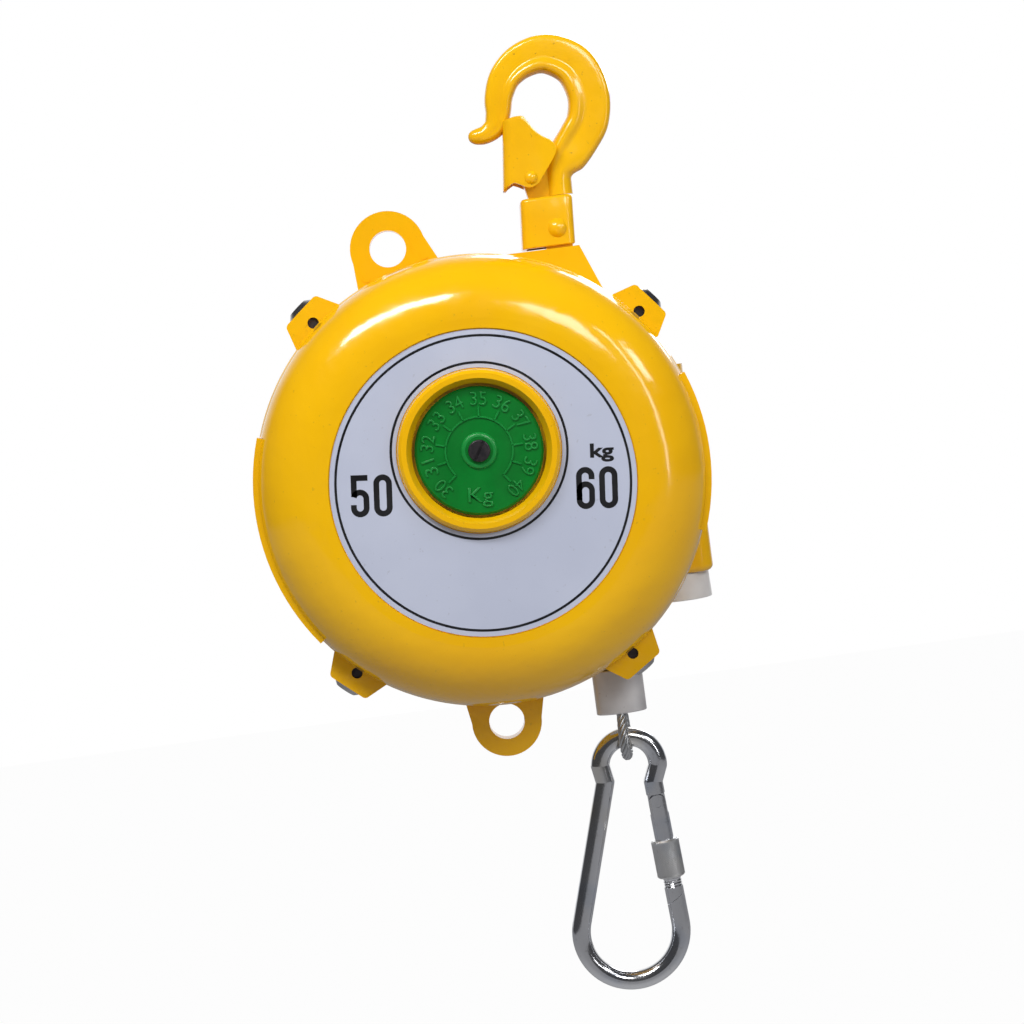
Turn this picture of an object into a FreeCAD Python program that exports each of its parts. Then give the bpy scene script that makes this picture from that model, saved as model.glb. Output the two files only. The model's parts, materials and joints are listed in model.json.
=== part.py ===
"""Spring tool balancer: hung by its top hook, it pays out a wire rope from a conical spring drum.

Millimetres.  +X to the right and +Z up as seen from the dial side, +Y away from the dial.
The origin is the seat of the suspension hook: the inner top of its bowl, on the load line.
"""
import FreeCAD, Part
import math
import os

# ---------------------------------------------------------------- driving dimensions
RUN_FIT = 0.05            # radial clearance of shafts and pins that turn
BODY_GAP = 0.3            # space between neighbours that move past each other

# Suspension hook and latch
HOOK_HALF_DEPTH = 8.0
SHANK_R = 7.0
SHANK_X = 1.0             # the swivel axis
STEM_R = 4.0              # the shank's thinner end, through the yoke's top plate
SHANK_NUT_R = 5.7
SHANK_NUT_H = 4.2
LATCH_PIVOT = (-11.6, -54.3)
LATCH_PIN_R = 2.2
LATCH_SHEET = 1.6
LATCH_CHEEK_Y = 9.2       # inner face of each cheek
NOSE_HALF_T = 4.0         # the eye on the neck that carries the latch

# Yoke between hook and case
YOKE_X = -1.5             # centre line, and the axis of the pivot pin
YOKE_HALF_X = 11.0
YOKE_HALF_Y = 11.8
YOKE_TOP_Z = -65.0
YOKE_BOTTOM_Z = -91.0
YOKE_WALL = 2.5
PIVOT_Z = -82.0
PIVOT_PIN_R = 4.0
EYE_R = 7.0               # suspension eye of the case, inside the yoke
BASE_TOP_Z = -92.5        # flat that the yoke stands over

# Case
CASE_X = -57.7            # axis of the round case
CASE_TOP_Z = -90.0        # top of the round case
CASE_R = 117.0            # outer radius of the front cover
WALL = 4.0
PART_Y = -30.0            # plane where cover and rear case meet
FACE_Y = -66.0            # flat face of the cover
REAR_Y = 46.0             # back of the rear case
DOME_R = 33.0             # rounding between the cover's rim and its face
REAR_EDGE_R = 14.0
RIM_DRAFT = 1.0
SPIGOT_DEPTH = 22.0       # the cover's skirt inside the rear case
SPIGOT_WALL = 4.5
RECESS_R = 78.0           # shallow recess for the label
RECESS_DEPTH = 1.2
LABEL_T = 0.5
LABEL_R = 77.4
WINDOW_OFFSET = 16.5      # drum, dial and shaft axis above the case axis
WINDOW_R = 36.5           # mouth of the dial window
WINDOW_RING_R = 41.5
WINDOW_RING_Y = -71.0
WELL_R = 34.0
WELL_FLOOR_Y = -59.5
WELL_FLOOR_T = 5.0

# Lugs with the cover screws, degrees anticlockwise from +X as seen from the dial
LUG_ANGLES = (39.7, 129.5, 229.4, 303.5)
LUG_RISE = 11.0           # flat outer face above the cover's rim
LUG_TIP_HALF = 11.0
LUG_ROOT_HALF = 18.5
LUG_DEPTH = 22.0
LUG_HOLE_R = 2.9
LUG_HOLE_RISE = 2.0       # axis of the front hole above the cover's rim
SCREW_R = 5.0
SCREW_HEAD_R = 8.75
SCREW_HEAD_H = 2.8
SCREW_LENGTH = 21.0

# Mounting ears: (direction in degrees, hole beyond the rim, hole radius, outer radius)
EARS = ((104.7, 13.1, 9.6, 19.8), (268.4, 12.0, 9.4, 18.5))
EAR_HALF_T = 5.5
EAR_MARK_R = 2.0          # ejector marks at each ear's root
EAR_MARK_H = 0.4

# Pressed pattern on the back: a shallow ring pocket with ribs left standing
BACK_POCKET = (44.0, 92.0)
BACK_POCKET_DEPTH = 1.4
BACK_RIBS = 8
BACK_RIB_HALF = 3.5

# Rim tongues of the rear case that lap over the cover: (from, to) in degrees
RIM_TONGUES = ((161.5, 217.5), (-20.0, 21.0))
TONGUE_T = 3.4
TONGUE_LENGTH = 13.0
TONGUE_GAP = 0.25

# Tension shaft, worm wheel and dial
SHAFT_R = 10.0
SHAFT_FRONT_R = 8.0
BUSH_WALL = 2.5
WHEEL_TEETH = 60
MODULE = 2.96             # tooth size of worm and wheel
TOOTH_RISE = 0.6          # addendum and dedendum, as shares of the module
TOOTH_DROP = 0.75
BACKLASH = 0.35           # taken off each flank, in millimetres
FLANK_ANGLE = 20.0
WHEEL_Y = 17.0            # near face of the worm wheel
WHEEL_T = 12.0
WHEEL_HUB_R = 22.0
WEB_HOLES = 6
WEB_HOLE_R = 14.0
DIAL_R = 32.5
DIAL_T = 5.0
DIAL_BOSS_R = 8.3
DIAL_SCREW_R = 5.6

# Worm and its housing
WORM_PITCH_R = 9.7
WORM_HALF_LENGTH = 22.0
WORM_BLOCK_HALF = 18.5
WORM_BLOCK_TOP = -31.0    # from the case axis
WORM_BLOCK_BOTTOM = -65.0
WORM_JOURNAL_R = 6.0
HEX_R = 4.4               # corner radius of the key socket
CAP_R = 16.5
CAP_HEIGHT = 14.0
CAP_WALL = 2.0
CAP_FLARE = 0.4           # the cap's mouth is this much wider at its free end

# Rope drum with the mainspring inside
ROPE_R = 2.75
ROPE_GAP = 1.1            # wall between neighbouring grooves
ROPE_TURNS = 3.37
DRUM_SMALL_Y = 0.0        # rope centre at the small end, where it leaves when wound up
DRUM_LARGE_R = 84.0       # pitch radius at the large end
SPRING_CAVITY_R = 50.0
DRUM_FRONT_Y = -52.0
DRUM_REAR_Y = 7.0
DRUM_WEB = 4.0
DRUM_RIM = 4.0            # flange above the last turn's pitch radius
GROOVE_FIT = 0.1
LAST_TURN = 300.0         # degrees of the last wound turn, back from where the rope leaves
SPRING_STRIP = 1.4
SPRING_TURNS = 8
SPRING_GAP = 1.0

# Rope end, ferrule, eye and thimble
OUTLET_DROP = 3.4         # the outlet's lower edge below the case's skin
OUTLET_BOSS_R = 10.5
OUTLET_BOSS_H = 16.0
BUMPER_H = 5.0
BUMPER_R = 7.5
FERRULE_LENGTH = 23.7
FERRULE_HALF_X = 13.4
FERRULE_HALF_Y = 7.4
LEG_OFFSET = 3.3          # half the spacing of the two rope legs in the ferrule
EYE_TURN = 8.0            # the eye's plane, degrees from the YZ plane
EYE_LOOP_R = 9.7          # centre line of the rope round the thimble
THIMBLE_T = 0.9
THIMBLE_WIDTH = 6.0
SADDLE_SHARE = 0.24       # gap under the curved bow, as a share of the rope's radius

# Carabiner
WIRE_R = 5.0
SNAP_LENGTH = 141.0
SNAP_TOP_HALF = 20.3      # outer half width of the small bow
SNAP_BOTTOM_HALF = 31.7
SNAP_LEAN = 6.5           # degrees that it hangs off the load line
NECK_DROP = 29.0          # from the top of the bow to the notched neck
NECK_INSET = 2.5          # how far the neck's centre line lies inside the bow's end
GATE_PIN_DROP = 41.0      # from the top of the bow to the gate's hinge pin
GATE_BOTTOM = 92.0        # middle of the slanted joint at the gate's free end
GATE_SLANT = 40.0
THREAD_PITCH = 1.5
THREAD_DEPTH = 0.45
GATE_PIN_R = 1.6
TONGUE_HALF_Y = 1.8
SLEEVE_TOP = 60.0
SLEEVE_LENGTH = 20.5
SLEEVE_R = 7.5

# ---------------------------------------------------------------- derived places
CASE_Z = CASE_TOP_Z - CASE_R
REAR_R = CASE_R - 1.0     # outer radius of the rear case
LUG_R = CASE_R + LUG_RISE
LUG_HOLE_PCD_R = CASE_R + LUG_HOLE_RISE
SHAFT_X = CASE_X
SHAFT_Z = CASE_Z + WINDOW_OFFSET
ROPE_SMALL_R = -SHAFT_X   # the wound-up rope leaves on the load line, X = 0
ROPE_PITCH = 2 * ROPE_R + ROPE_GAP
WHEEL_PITCH_R = MODULE * WHEEL_TEETH / 2
WHEEL_R = WHEEL_PITCH_R + TOOTH_RISE * MODULE
WORM_R = WORM_PITCH_R + TOOTH_RISE * MODULE
WORM_ROOT_R = WORM_PITCH_R - TOOTH_DROP * MODULE
WORM_X = SHAFT_X + WHEEL_PITCH_R + WORM_PITCH_R
WORM_Y = WHEEL_Y + WHEEL_T / 2
WORM_LEAD = math.pi * MODULE
SWIVEL_WASHER_T = 1.0
OUTLET_Z = CASE_Z - math.sqrt(REAR_R ** 2 - CASE_X ** 2) - OUTLET_DROP
FERRULE_TOP_Z = OUTLET_Z - BUMPER_H - BODY_GAP
FERRULE_BOTTOM_Z = FERRULE_TOP_Z - FERRULE_LENGTH
SADDLE_GAP = SADDLE_SHARE * ROPE_R

V = FreeCAD.Vector
AXIS_Y = V(0, 1, 0)
AXIS_Z = V(0, 0, 1)


# ---------------------------------------------------------------- helpers
def rod_y(x, z, radius, y0, y1):
    """Cylinder along Y from y0 to y1."""
    return Part.makeCylinder(radius, y1 - y0, V(x, y0, z), AXIS_Y)


def rod_z(x, y, radius, z0, z1):
    """Cylinder along Z from z0 to z1."""
    return Part.makeCylinder(radius, z1 - z0, V(x, y, z0), AXIS_Z)


def tube_y(x, z, outer, inner, y0, y1):
    """Ring along Y."""
    return rod_y(x, z, outer, y0, y1).cut(rod_y(x, z, inner, y0 - 1, y1 + 1))


def tube_z(x, y, outer, inner, z0, z1):
    """Ring along Z."""
    return rod_z(x, y, outer, z0, z1).cut(rod_z(x, y, inner, z0 - 1, z1 + 1))


def turned(x, z, profile):
    """Solid of revolution about the Y axis through (x, z); profile is (radius, y) or an arc's middle.

    An entry (radius, y, "via") is the middle point of an arc between its neighbours.
    """
    edges = []
    points = profile + [profile[0]]
    i = 0
    while i < len(points) - 1:
        start = V(x + points[i][0], points[i][1], z)
        if len(points[i + 1]) == 3:
            via = V(x + points[i + 1][0], points[i + 1][1], z)
            end = V(x + points[i + 2][0], points[i + 2][1], z)
            edges.append(Part.Arc(start, via, end).toShape())
            i += 2
        else:
            end = V(x + points[i + 1][0], points[i + 1][1], z)
            edges.append(Part.makeLine(start, end))
            i += 1
    face = Part.Face(Part.Wire(edges))
    return face.revolve(V(x, 0, z), AXIS_Y, 360)


def arc_middle(centre_r, centre_y, radius, angle):
    """Profile entry for the middle of an arc, at angle degrees from the radius direction to +Y."""
    a = math.radians(angle)
    return (centre_r + radius * math.cos(a), centre_y + radius * math.sin(a), "via")


def plate_y(points, y0, y1):
    """Plate between y0 and y1 with a straight-sided outline of (x, z) points."""
    wire = Part.makePolygon([V(px, y0, pz) for px, pz in points + [points[0]]])
    return Part.Face(wire).extrude(V(0, y1 - y0, 0))


def polar(angle, radius):
    """Point (x, z) at radius from the case axis, angle in degrees as seen from the dial."""
    a = math.radians(angle)
    return CASE_X + radius * math.cos(a), CASE_Z + radius * math.sin(a)


def radial_frame(angle, radius, along, y):
    """Point at radius on a case direction, shifted sideways by along."""
    a = math.radians(angle)
    x = CASE_X + radius * math.cos(a) - along * math.sin(a)
    z = CASE_Z + radius * math.sin(a) + along * math.cos(a)
    return V(x, y, z)


def edges_along_y(shape, low, high):
    """Straight edges parallel to Y whose middle lies in the box low..high of (x, z)."""
    found = []
    for edge in shape.Edges:
        if len(edge.Vertexes) != 2:
            continue
        run = edge.Vertexes[1].Point - edge.Vertexes[0].Point
        if abs(run.x) > 1e-6 or abs(run.z) > 1e-6:
            continue
        p = edge.Vertexes[0].Point
        if low[0] <= p.x <= high[0] and low[1] <= p.z <= high[1]:
            found.append(edge)
    return found


def swept_round(path, radius):
    """Round bar of the given radius along a wire."""
    first = path.OrderedEdges[0]
    start = first.valueAt(first.FirstParameter)
    tangent = first.tangentAt(first.FirstParameter)
    if first.Orientation == "Reversed":
        start = first.valueAt(first.LastParameter)
        tangent = first.tangentAt(first.LastParameter) * -1
    section = Part.Wire(Part.makeCircle(radius, start, tangent))
    return path.makePipeShell([section], True, False)


# ---------------------------------------------------------------- hook and latch
def forged_section(centre, lean, half_width, half_depth):
    """Closed rounded section across the hook; lean is the outward direction in degrees from +X."""
    a = math.radians(lean)
    outward = V(math.cos(a), 0, math.sin(a))
    points = []
    count = 14
    for i in range(count):
        t = 2 * math.pi * i / count
        c, s = math.cos(t), math.sin(t)
        u = math.copysign(abs(c) ** 0.8, c) * half_width
        w = math.copysign(abs(s) ** 0.8, s) * half_depth
        points.append(V(centre[0], 0, centre[1]) + outward * u + AXIS_Y * w)
    curve = Part.BSplineCurve()
    curve.interpolate(points, PeriodicFlag=True)
    return Part.Wire(curve.toShape())


def hook_stations():
    """(centre, outward direction, half width, half depth) from the neck round the bowl to the tip."""
    depth = HOOK_HALF_DEPTH
    return [((SHANK_X, -60.0), 0, SHANK_R, SHANK_R),
            ((2.3, -56.0), -8, 7.6, 7.2),
            ((6.6, -48.2), -32, 9.2, depth),
            ((15.5, -37.0), -37, 10.5, depth),
            ((22.6, -27.5), -20, 10.9, depth),
            ((24.2, -13.0), 6, 11.0, depth),
            ((18.3, 2.2), 42, 11.0, depth),
            ((4.5, 10.0), 77, 9.9, depth),
            ((-8.4, 8.0), 111, 8.9, depth),
            ((-18.2, 0.4), 146, 7.9, depth * 0.96),
            ((-23.2, -10.0), 174, 7.2, depth * 0.9),
            ((-24.6, -18.5), 176, 6.3, depth * 0.8),
            ((-27.6, -25.2), 142, 5.4, depth * 0.7),
            ((-33.6, -28.6), 101, 4.6, depth * 0.58),
            ((-38.6, -28.9), 88, 3.8, depth * 0.48),
            ((-41.0, -28.7), 86, 3.0, depth * 0.38),
            ((-42.3, -28.6), 86, 1.9, depth * 0.24),
            ((-42.8, -28.5), 86, 0.6, depth * 0.08)]


def hook():
    """Forged hook with its round shank, the nose that carries the latch, and a rounded tip."""
    body = Part.makeLoft([forged_section(*s) for s in hook_stations()], True, False)
    stem_foot = YOKE_TOP_Z - YOKE_WALL - SWIVEL_WASHER_T - SHANK_NUT_H - BODY_GAP
    shank = rod_z(SHANK_X, 0, SHANK_R, YOKE_TOP_Z + BODY_GAP, -59.5)
    stem = rod_z(SHANK_X, 0, STEM_R, stem_foot, YOKE_TOP_Z + 1)
    px, pz = LATCH_PIVOT
    nose_r = 2.4 * LATCH_PIN_R
    nose = plate_y([(px - 2, pz + nose_r), (px + nose_r * 0.2, pz - nose_r), (SHANK_X, -63.5),
                    (SHANK_X + 4, -46.0), (SHANK_X - 2, -42.0)], -NOSE_HALF_T, NOSE_HALF_T)
    nose = nose.fuse(rod_y(px, pz, nose_r, -NOSE_HALF_T, NOSE_HALF_T))
    hole = rod_y(px, pz, LATCH_PIN_R, -2 * NOSE_HALF_T, 2 * NOSE_HALF_T)
    return body.fuse([shank, stem, nose.removeSplitter().cut(hole)])


def swivel_nut():
    """Flat round nut riveted on the end of the shank, which bears on the washer."""
    top = YOKE_TOP_Z - YOKE_WALL - SWIVEL_WASHER_T - BODY_GAP
    ring = tube_z(SHANK_X, 0, SHANK_NUT_R, STEM_R, top - SHANK_NUT_H, top)
    lower = [e for e in ring.Edges if abs(e.BoundBox.ZMax - (top - SHANK_NUT_H)) < 1e-3
             and e.BoundBox.XLength > 1.9 * SHANK_NUT_R]
    return ring.makeChamfer(0.8, lower)


def latch_outline():
    """Side outline of the latch cheek: straight fold, concave throat edge, rounded heel."""
    px, pz = LATCH_PIVOT
    heel_r = 2.2 * LATCH_PIN_R
    top = V(-16.8, 0, -22.4)
    edges = [Part.makeLine(V(-19.4, 0, -57.0), top),
             Part.makeLine(top, V(-12.4, 0, -22.2)),
             Part.Arc(V(-12.4, 0, -22.2), V(-7.4, 0, -30.6), V(1.0, 0, -36.0)).toShape(),
             Part.makeLine(V(1.0, 0, -36.0), V(4.2, 0, -41.0)),
             Part.makeLine(V(4.2, 0, -41.0), V(px + heel_r, 0, pz - 2.0)),
             Part.Arc(V(px + heel_r, 0, pz - 2.0), V(px + 1.0, 0, pz - heel_r),
                      V(px - 2.4, 0, pz - heel_r + 0.6)).toShape(),
             Part.makeLine(V(px - 2.4, 0, pz - heel_r + 0.6), V(-19.4, 0, -57.0))]
    return Part.Wire(edges)


def latch():
    """Sheet latch: two cheeks beside the neck, joined by a web that closes the hook's mouth."""
    outer_y = LATCH_CHEEK_Y + LATCH_SHEET
    face = Part.Face(latch_outline())
    face.translate(V(0, -outer_y, 0))
    block = face.extrude(V(0, 2 * outer_y, 0))
    folds = [e for e in edges_along_y(block, (-20, -58), (-16, -22))]
    block = block.makeFillet(1.2, folds[:1]) if folds else block
    inner = Part.Face(latch_outline())
    inner.translate(V(LATCH_SHEET, -LATCH_CHEEK_Y, 0))
    hollow = inner.extrude(V(0, 2 * LATCH_CHEEK_Y, 0))
    room = Part.makeBox(40, 2 * LATCH_CHEEK_Y, 60, V(-16.9, -LATCH_CHEEK_Y, -75))
    below = Part.makeBox(12, 2 * LATCH_CHEEK_Y, 8, V(-17.6, -LATCH_CHEEK_Y, -62))
    solid = block.cut([hollow, room, below])
    px, pz = LATCH_PIVOT
    return solid.cut(rod_y(px, pz, LATCH_PIN_R + RUN_FIT, -outer_y - 1, outer_y + 1))


def latch_pin():
    """Rivet with a domed head outside each cheek."""
    px, pz = LATCH_PIVOT
    reach = LATCH_CHEEK_Y + LATCH_SHEET + 0.15
    pin = rod_y(px, pz, LATCH_PIN_R, -reach, reach)
    return pin.fuse([domed_head(px, pz, -reach, -1, 3.4, 1.9), domed_head(px, pz, reach, 1, 3.4, 1.9)])


def domed_head(x, z, y, side, radius, height):
    """Rivet head: a cap of a sphere standing on the plane y, bulging towards side (+1 or -1)."""
    ball_r = (radius ** 2 + height ** 2) / (2 * height)
    ball = Part.makeSphere(ball_r, V(x, y + side * (height - ball_r), z))
    keep = Part.makeBox(4 * ball_r, 2 * ball_r, 4 * ball_r)
    low_y = y if side > 0 else y - 2 * ball_r
    keep.translate(V(x - 2 * ball_r, low_y, z - 2 * ball_r))
    return ball.common(keep)


def latch_spring():
    """Torsion spring round the latch rivet, its leg lying against the web."""
    px, pz = LATCH_PIVOT
    wire = 0.7
    coil_y = NOSE_HALF_T + 2.6
    coil_r = LATCH_PIN_R + RUN_FIT + 0.2 + wire
    coils = []
    for i in range(3):
        ring = Part.makeTorus(coil_r, wire, V(px, coil_y + (i - 1) * 1.7 * wire, pz), AXIS_Y)
        coils.append(ring)
    leg = Part.makeCylinder(wire, 12.0, V(px - coil_r, coil_y, pz), AXIS_Z)
    return coils[0].fuse(coils[1:] + [leg])


# ---------------------------------------------------------------- yoke
def yoke():
    """Box yoke, open below, that swivels on the shank and straddles the case's suspension eye."""
    left, right = YOKE_X - YOKE_HALF_X, YOKE_X + YOKE_HALF_X
    height = YOKE_TOP_Z - YOKE_BOTTOM_Z
    box = Part.makeBox(right - left, 2 * YOKE_HALF_Y, height, V(left, -YOKE_HALF_Y, YOKE_BOTTOM_Z))
    uprights = [e for e in box.Edges if abs(e.tangentAt(e.FirstParameter).z) > 0.99]
    box = box.makeFillet(3.2, uprights)
    top = [e for e in box.Edges if e.BoundBox.ZMin > YOKE_TOP_Z - 1e-3]
    box = box.makeFillet(1.0, top)
    room = Part.makeBox(right - left - 2 * YOKE_WALL, 2 * (YOKE_HALF_Y - YOKE_WALL), height - YOKE_WALL + 1,
                        V(left + YOKE_WALL, -YOKE_HALF_Y + YOKE_WALL, YOKE_BOTTOM_Z - 1))
    shank_hole = rod_z(SHANK_X, 0, STEM_R + RUN_FIT, YOKE_TOP_Z - 10, YOKE_TOP_Z + 1)
    pin_hole = rod_y(YOKE_X, PIVOT_Z, PIVOT_PIN_R, -YOKE_HALF_Y - 1, YOKE_HALF_Y + 1)
    return box.cut([room, shank_hole, pin_hole])


def swivel_washer():
    """Thrust washer under the yoke's top plate."""
    top = YOKE_TOP_Z - YOKE_WALL
    return tube_z(SHANK_X, 0, SHANK_NUT_R, STEM_R + RUN_FIT, top - SWIVEL_WASHER_T, top)


def pivot_pin():
    """Rivet through yoke and suspension eye, with domed heads."""
    pin = rod_y(YOKE_X, PIVOT_Z, PIVOT_PIN_R, -YOKE_HALF_Y, YOKE_HALF_Y)
    heads = [domed_head(YOKE_X, PIVOT_Z, side * YOKE_HALF_Y, side, 4.9, 2.6) for side in (-1, 1)]
    return pin.fuse(heads)


# ---------------------------------------------------------------- case
def dome_profile(radius, face_y, inset):
    """Outer profile of the cover from rim to axis, inset by a wall thickness."""
    rim_r = radius - inset
    dome = DOME_R - inset
    face = face_y + inset
    return [(rim_r, PART_Y), (rim_r - RIM_DRAFT, face + dome),
            arc_middle(rim_r - RIM_DRAFT - dome, face + dome, dome, -45),
            (rim_r - RIM_DRAFT - dome, face)]


def screw_bosses(y, inner_r, outer_r, half):
    """Blocks inside the cover's skirt that take the radial screws."""
    blocks = []
    for angle in LUG_ANGLES:
        base = radial_frame(angle, inner_r, 0, y)
        axis = radial_frame(angle, inner_r + 1, 0, y) - base
        blocks.append(Part.makeCylinder(half, outer_r - inner_r, base, axis))
    return blocks


def front_cover():
    """Domed cover with label recess, dial window, bearing wall and a skirt inside the rear case."""
    outer = turned(CASE_X, CASE_Z, dome_profile(CASE_R, FACE_Y, 0) + [(0, FACE_Y), (0, PART_Y)])
    inner = turned(CASE_X, CASE_Z, dome_profile(CASE_R, FACE_Y, WALL) + [(0, FACE_Y + WALL), (0, PART_Y)])
    skirt_r = REAR_R - WALL - 0.1
    skirt = tube_y(CASE_X, CASE_Z, skirt_r, skirt_r - SPIGOT_WALL, PART_Y - 2, PART_Y + SPIGOT_DEPTH)
    ledge = tube_y(CASE_X, CASE_Z, CASE_R - WALL + 1, skirt_r - SPIGOT_WALL, PART_Y - 2 * WALL, PART_Y)
    shell = outer.cut(inner).fuse([skirt, ledge])
    screw_y = PART_Y + LUG_DEPTH / 2
    shell = shell.fuse(screw_bosses(screw_y, skirt_r - SPIGOT_WALL - 5, skirt_r - 1.0, SCREW_R + 4))
    ring = turned(SHAFT_X, SHAFT_Z, [(0, FACE_Y + 1), (WINDOW_RING_R, FACE_Y + 1),
                                    (WINDOW_RING_R - 0.8, WINDOW_RING_Y + 1.6),
                                    (WINDOW_RING_R - 2.4, WINDOW_RING_Y), (0, WINDOW_RING_Y)])
    well = rod_y(SHAFT_X, SHAFT_Z, WELL_R + WALL, FACE_Y, WELL_FLOOR_Y + WELL_FLOOR_T)
    shell = shell.fuse([ring, well])
    mouth = turned(SHAFT_X, SHAFT_Z, [(0, WINDOW_RING_Y - 1), (WINDOW_R + 0.4, WINDOW_RING_Y - 1),
                                     (WINDOW_R, WINDOW_RING_Y), (WELL_R, FACE_Y + 1),
                                     (WELL_R, WELL_FLOOR_Y), (0, WELL_FLOOR_Y)])
    bush_hole = rod_y(SHAFT_X, SHAFT_Z, SHAFT_FRONT_R + BUSH_WALL, WELL_FLOOR_Y - 1,
                      WELL_FLOOR_Y + WELL_FLOOR_T + 1)
    recess = tube_y(CASE_X, CASE_Z, RECESS_R, 1, FACE_Y, FACE_Y + RECESS_DEPTH)
    recess = recess.cut(rod_y(SHAFT_X, SHAFT_Z, WINDOW_RING_R, FACE_Y - 1, FACE_Y + 3))
    shell = shell.cut([mouth, bush_hole, recess])
    shell = shell.cut(screw_shanks(SCREW_R) + rim_tongues(TONGUE_GAP))
    return shell.cut(rod_z(0, 0, OUTLET_BOSS_R + BODY_GAP, OUTLET_Z - 10, OUTLET_Z + OUTLET_BOSS_H + 10))


def screw_shanks(radius):
    """Radial cylinders where the cover screws pass."""
    shanks = []
    y = PART_Y + LUG_DEPTH / 2
    for angle in LUG_ANGLES:
        tip = radial_frame(angle, LUG_R - SCREW_LENGTH, 0, y)
        axis = radial_frame(angle, LUG_R, 0, y) - tip
        shanks.append(Part.makeCylinder(radius, SCREW_LENGTH + 1, tip, axis))
    return shanks


def rim_tongues(gap):
    """Ring sectors that lap over the cover's rim, grown by gap on every side."""
    tongues = []
    for start, end in RIM_TONGUES:
        grown = math.degrees(gap / CASE_R)
        outer, inner = CASE_R + 0.4 + gap, CASE_R - TONGUE_T - gap
        y0 = PART_Y - TONGUE_LENGTH - gap
        face = sector_face(start - grown, end + grown, inner, outer, y0)
        tongues.append(face.extrude(V(0, TONGUE_LENGTH + gap + 1, 0)))
    return tongues


def sector_face(start, end, inner, outer, y):
    """Flat sector of a ring about the case axis."""
    def at(angle, radius):
        x, z = polar(angle, radius)
        return V(x, y, z)
    middle = (start + end) / 2
    edges = [Part.Arc(at(start, outer), at(middle, outer), at(end, outer)).toShape(),
             Part.makeLine(at(end, outer), at(end, inner)),
             Part.Arc(at(end, inner), at(middle, inner), at(start, inner)).toShape(),
             Part.makeLine(at(start, inner), at(start, outer))]
    return Part.Face(Part.Wire(edges))


def lug(angle):
    """Cast lug with sloping flanks, a flat outer face and rounded corners."""
    corners = [radial_frame(angle, LUG_R, -LUG_TIP_HALF, PART_Y), radial_frame(angle, LUG_R, LUG_TIP_HALF, PART_Y),
               radial_frame(angle, REAR_R - 6, LUG_ROOT_HALF, PART_Y),
               radial_frame(angle, REAR_R - 6, -LUG_ROOT_HALF, PART_Y)]
    face = Part.Face(Part.makePolygon(corners + [corners[0]]))
    block = face.extrude(V(0, LUG_DEPTH, 0))
    tips = []
    for edge in block.Edges:
        p = edge.CenterOfMass
        if edge.BoundBox.YLength > LUG_DEPTH - 0.01 and math.hypot(p.x - CASE_X, p.z - CASE_Z) > LUG_R:
            tips.append(edge)
    return block.makeFillet(2.6, tips)


def ear(direction, distance, outer_r):
    """Mounting ear: a plate that widens from its round end to the case."""
    x, z = polar(direction, distance)
    side = V(-math.sin(math.radians(direction)), 0, math.cos(math.radians(direction)))
    inner_x, inner_z = polar(direction, REAR_R - 8)
    hub = rod_y(x, z, outer_r, -EAR_HALF_T, EAR_HALF_T)
    spread = 1.22 * outer_r
    root = V(inner_x, 0, inner_z)
    head = V(x, 0, z)
    pts = [root + side * spread, head + side * outer_r * 0.995, head - side * outer_r * 0.995,
           root - side * spread]
    return hub.fuse(plate_y([(p.x, p.z) for p in pts], -EAR_HALF_T, EAR_HALF_T))


def ear_marks():
    """Small round ejector marks at the root of each ear, on the side that faces the dial."""
    marks = []
    for direction, _, _, outer_r in EARS:
        lean = math.degrees(0.8 * outer_r / CASE_R)
        for side in (-lean, lean):
            x, z = polar(direction + side, CASE_R + 2 * EAR_MARK_R)
            marks.append(rod_y(x, z, EAR_MARK_R, -EAR_HALF_T - EAR_MARK_H, 0))
    return marks


def back_pocket():
    """Shallow ring pocket in the back, with radial ribs left standing in it."""
    inner_r, outer_r = BACK_POCKET
    floor = REAR_Y - BACK_POCKET_DEPTH
    ring = tube_y(CASE_X, CASE_Z, outer_r, inner_r, floor, REAR_Y + 1)
    ribs = []
    for i in range(BACK_RIBS):
        rib = Part.makeBox(outer_r + 5, BACK_POCKET_DEPTH + 3, 2 * BACK_RIB_HALF, V(0, floor - 1, -BACK_RIB_HALF))
        rib.rotate(V(0, 0, 0), AXIS_Y, 360 * (i + 0.5) / BACK_RIBS)
        rib.translate(V(CASE_X, 0, CASE_Z))
        ribs.append(rib)
    return ring.cut(ribs)


def base_block():
    """Cast shoulder on top of the rear case, with the flat that the yoke stands over."""
    half = 15.0
    return plate_y([(-34.0, BASE_TOP_Z), (8.5, BASE_TOP_Z), (18.5, -118.0), (12.0, -132.0), (-38.0, -112.0),
                    (-44.0, -96.0)], -half, half)


def suspension_eye():
    """Round-ended tongue on the base flat that goes up into the yoke."""
    half = YOKE_HALF_Y - YOKE_WALL - BODY_GAP
    tongue = rod_y(YOKE_X, PIVOT_Z, EYE_R, -half, half)
    return tongue.fuse(plate_y([(YOKE_X - EYE_R, PIVOT_Z), (YOKE_X + EYE_R, PIVOT_Z),
                                (YOKE_X + EYE_R, BASE_TOP_Z - 1), (YOKE_X - EYE_R, BASE_TOP_Z - 1)],
                               -half, half))


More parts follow.
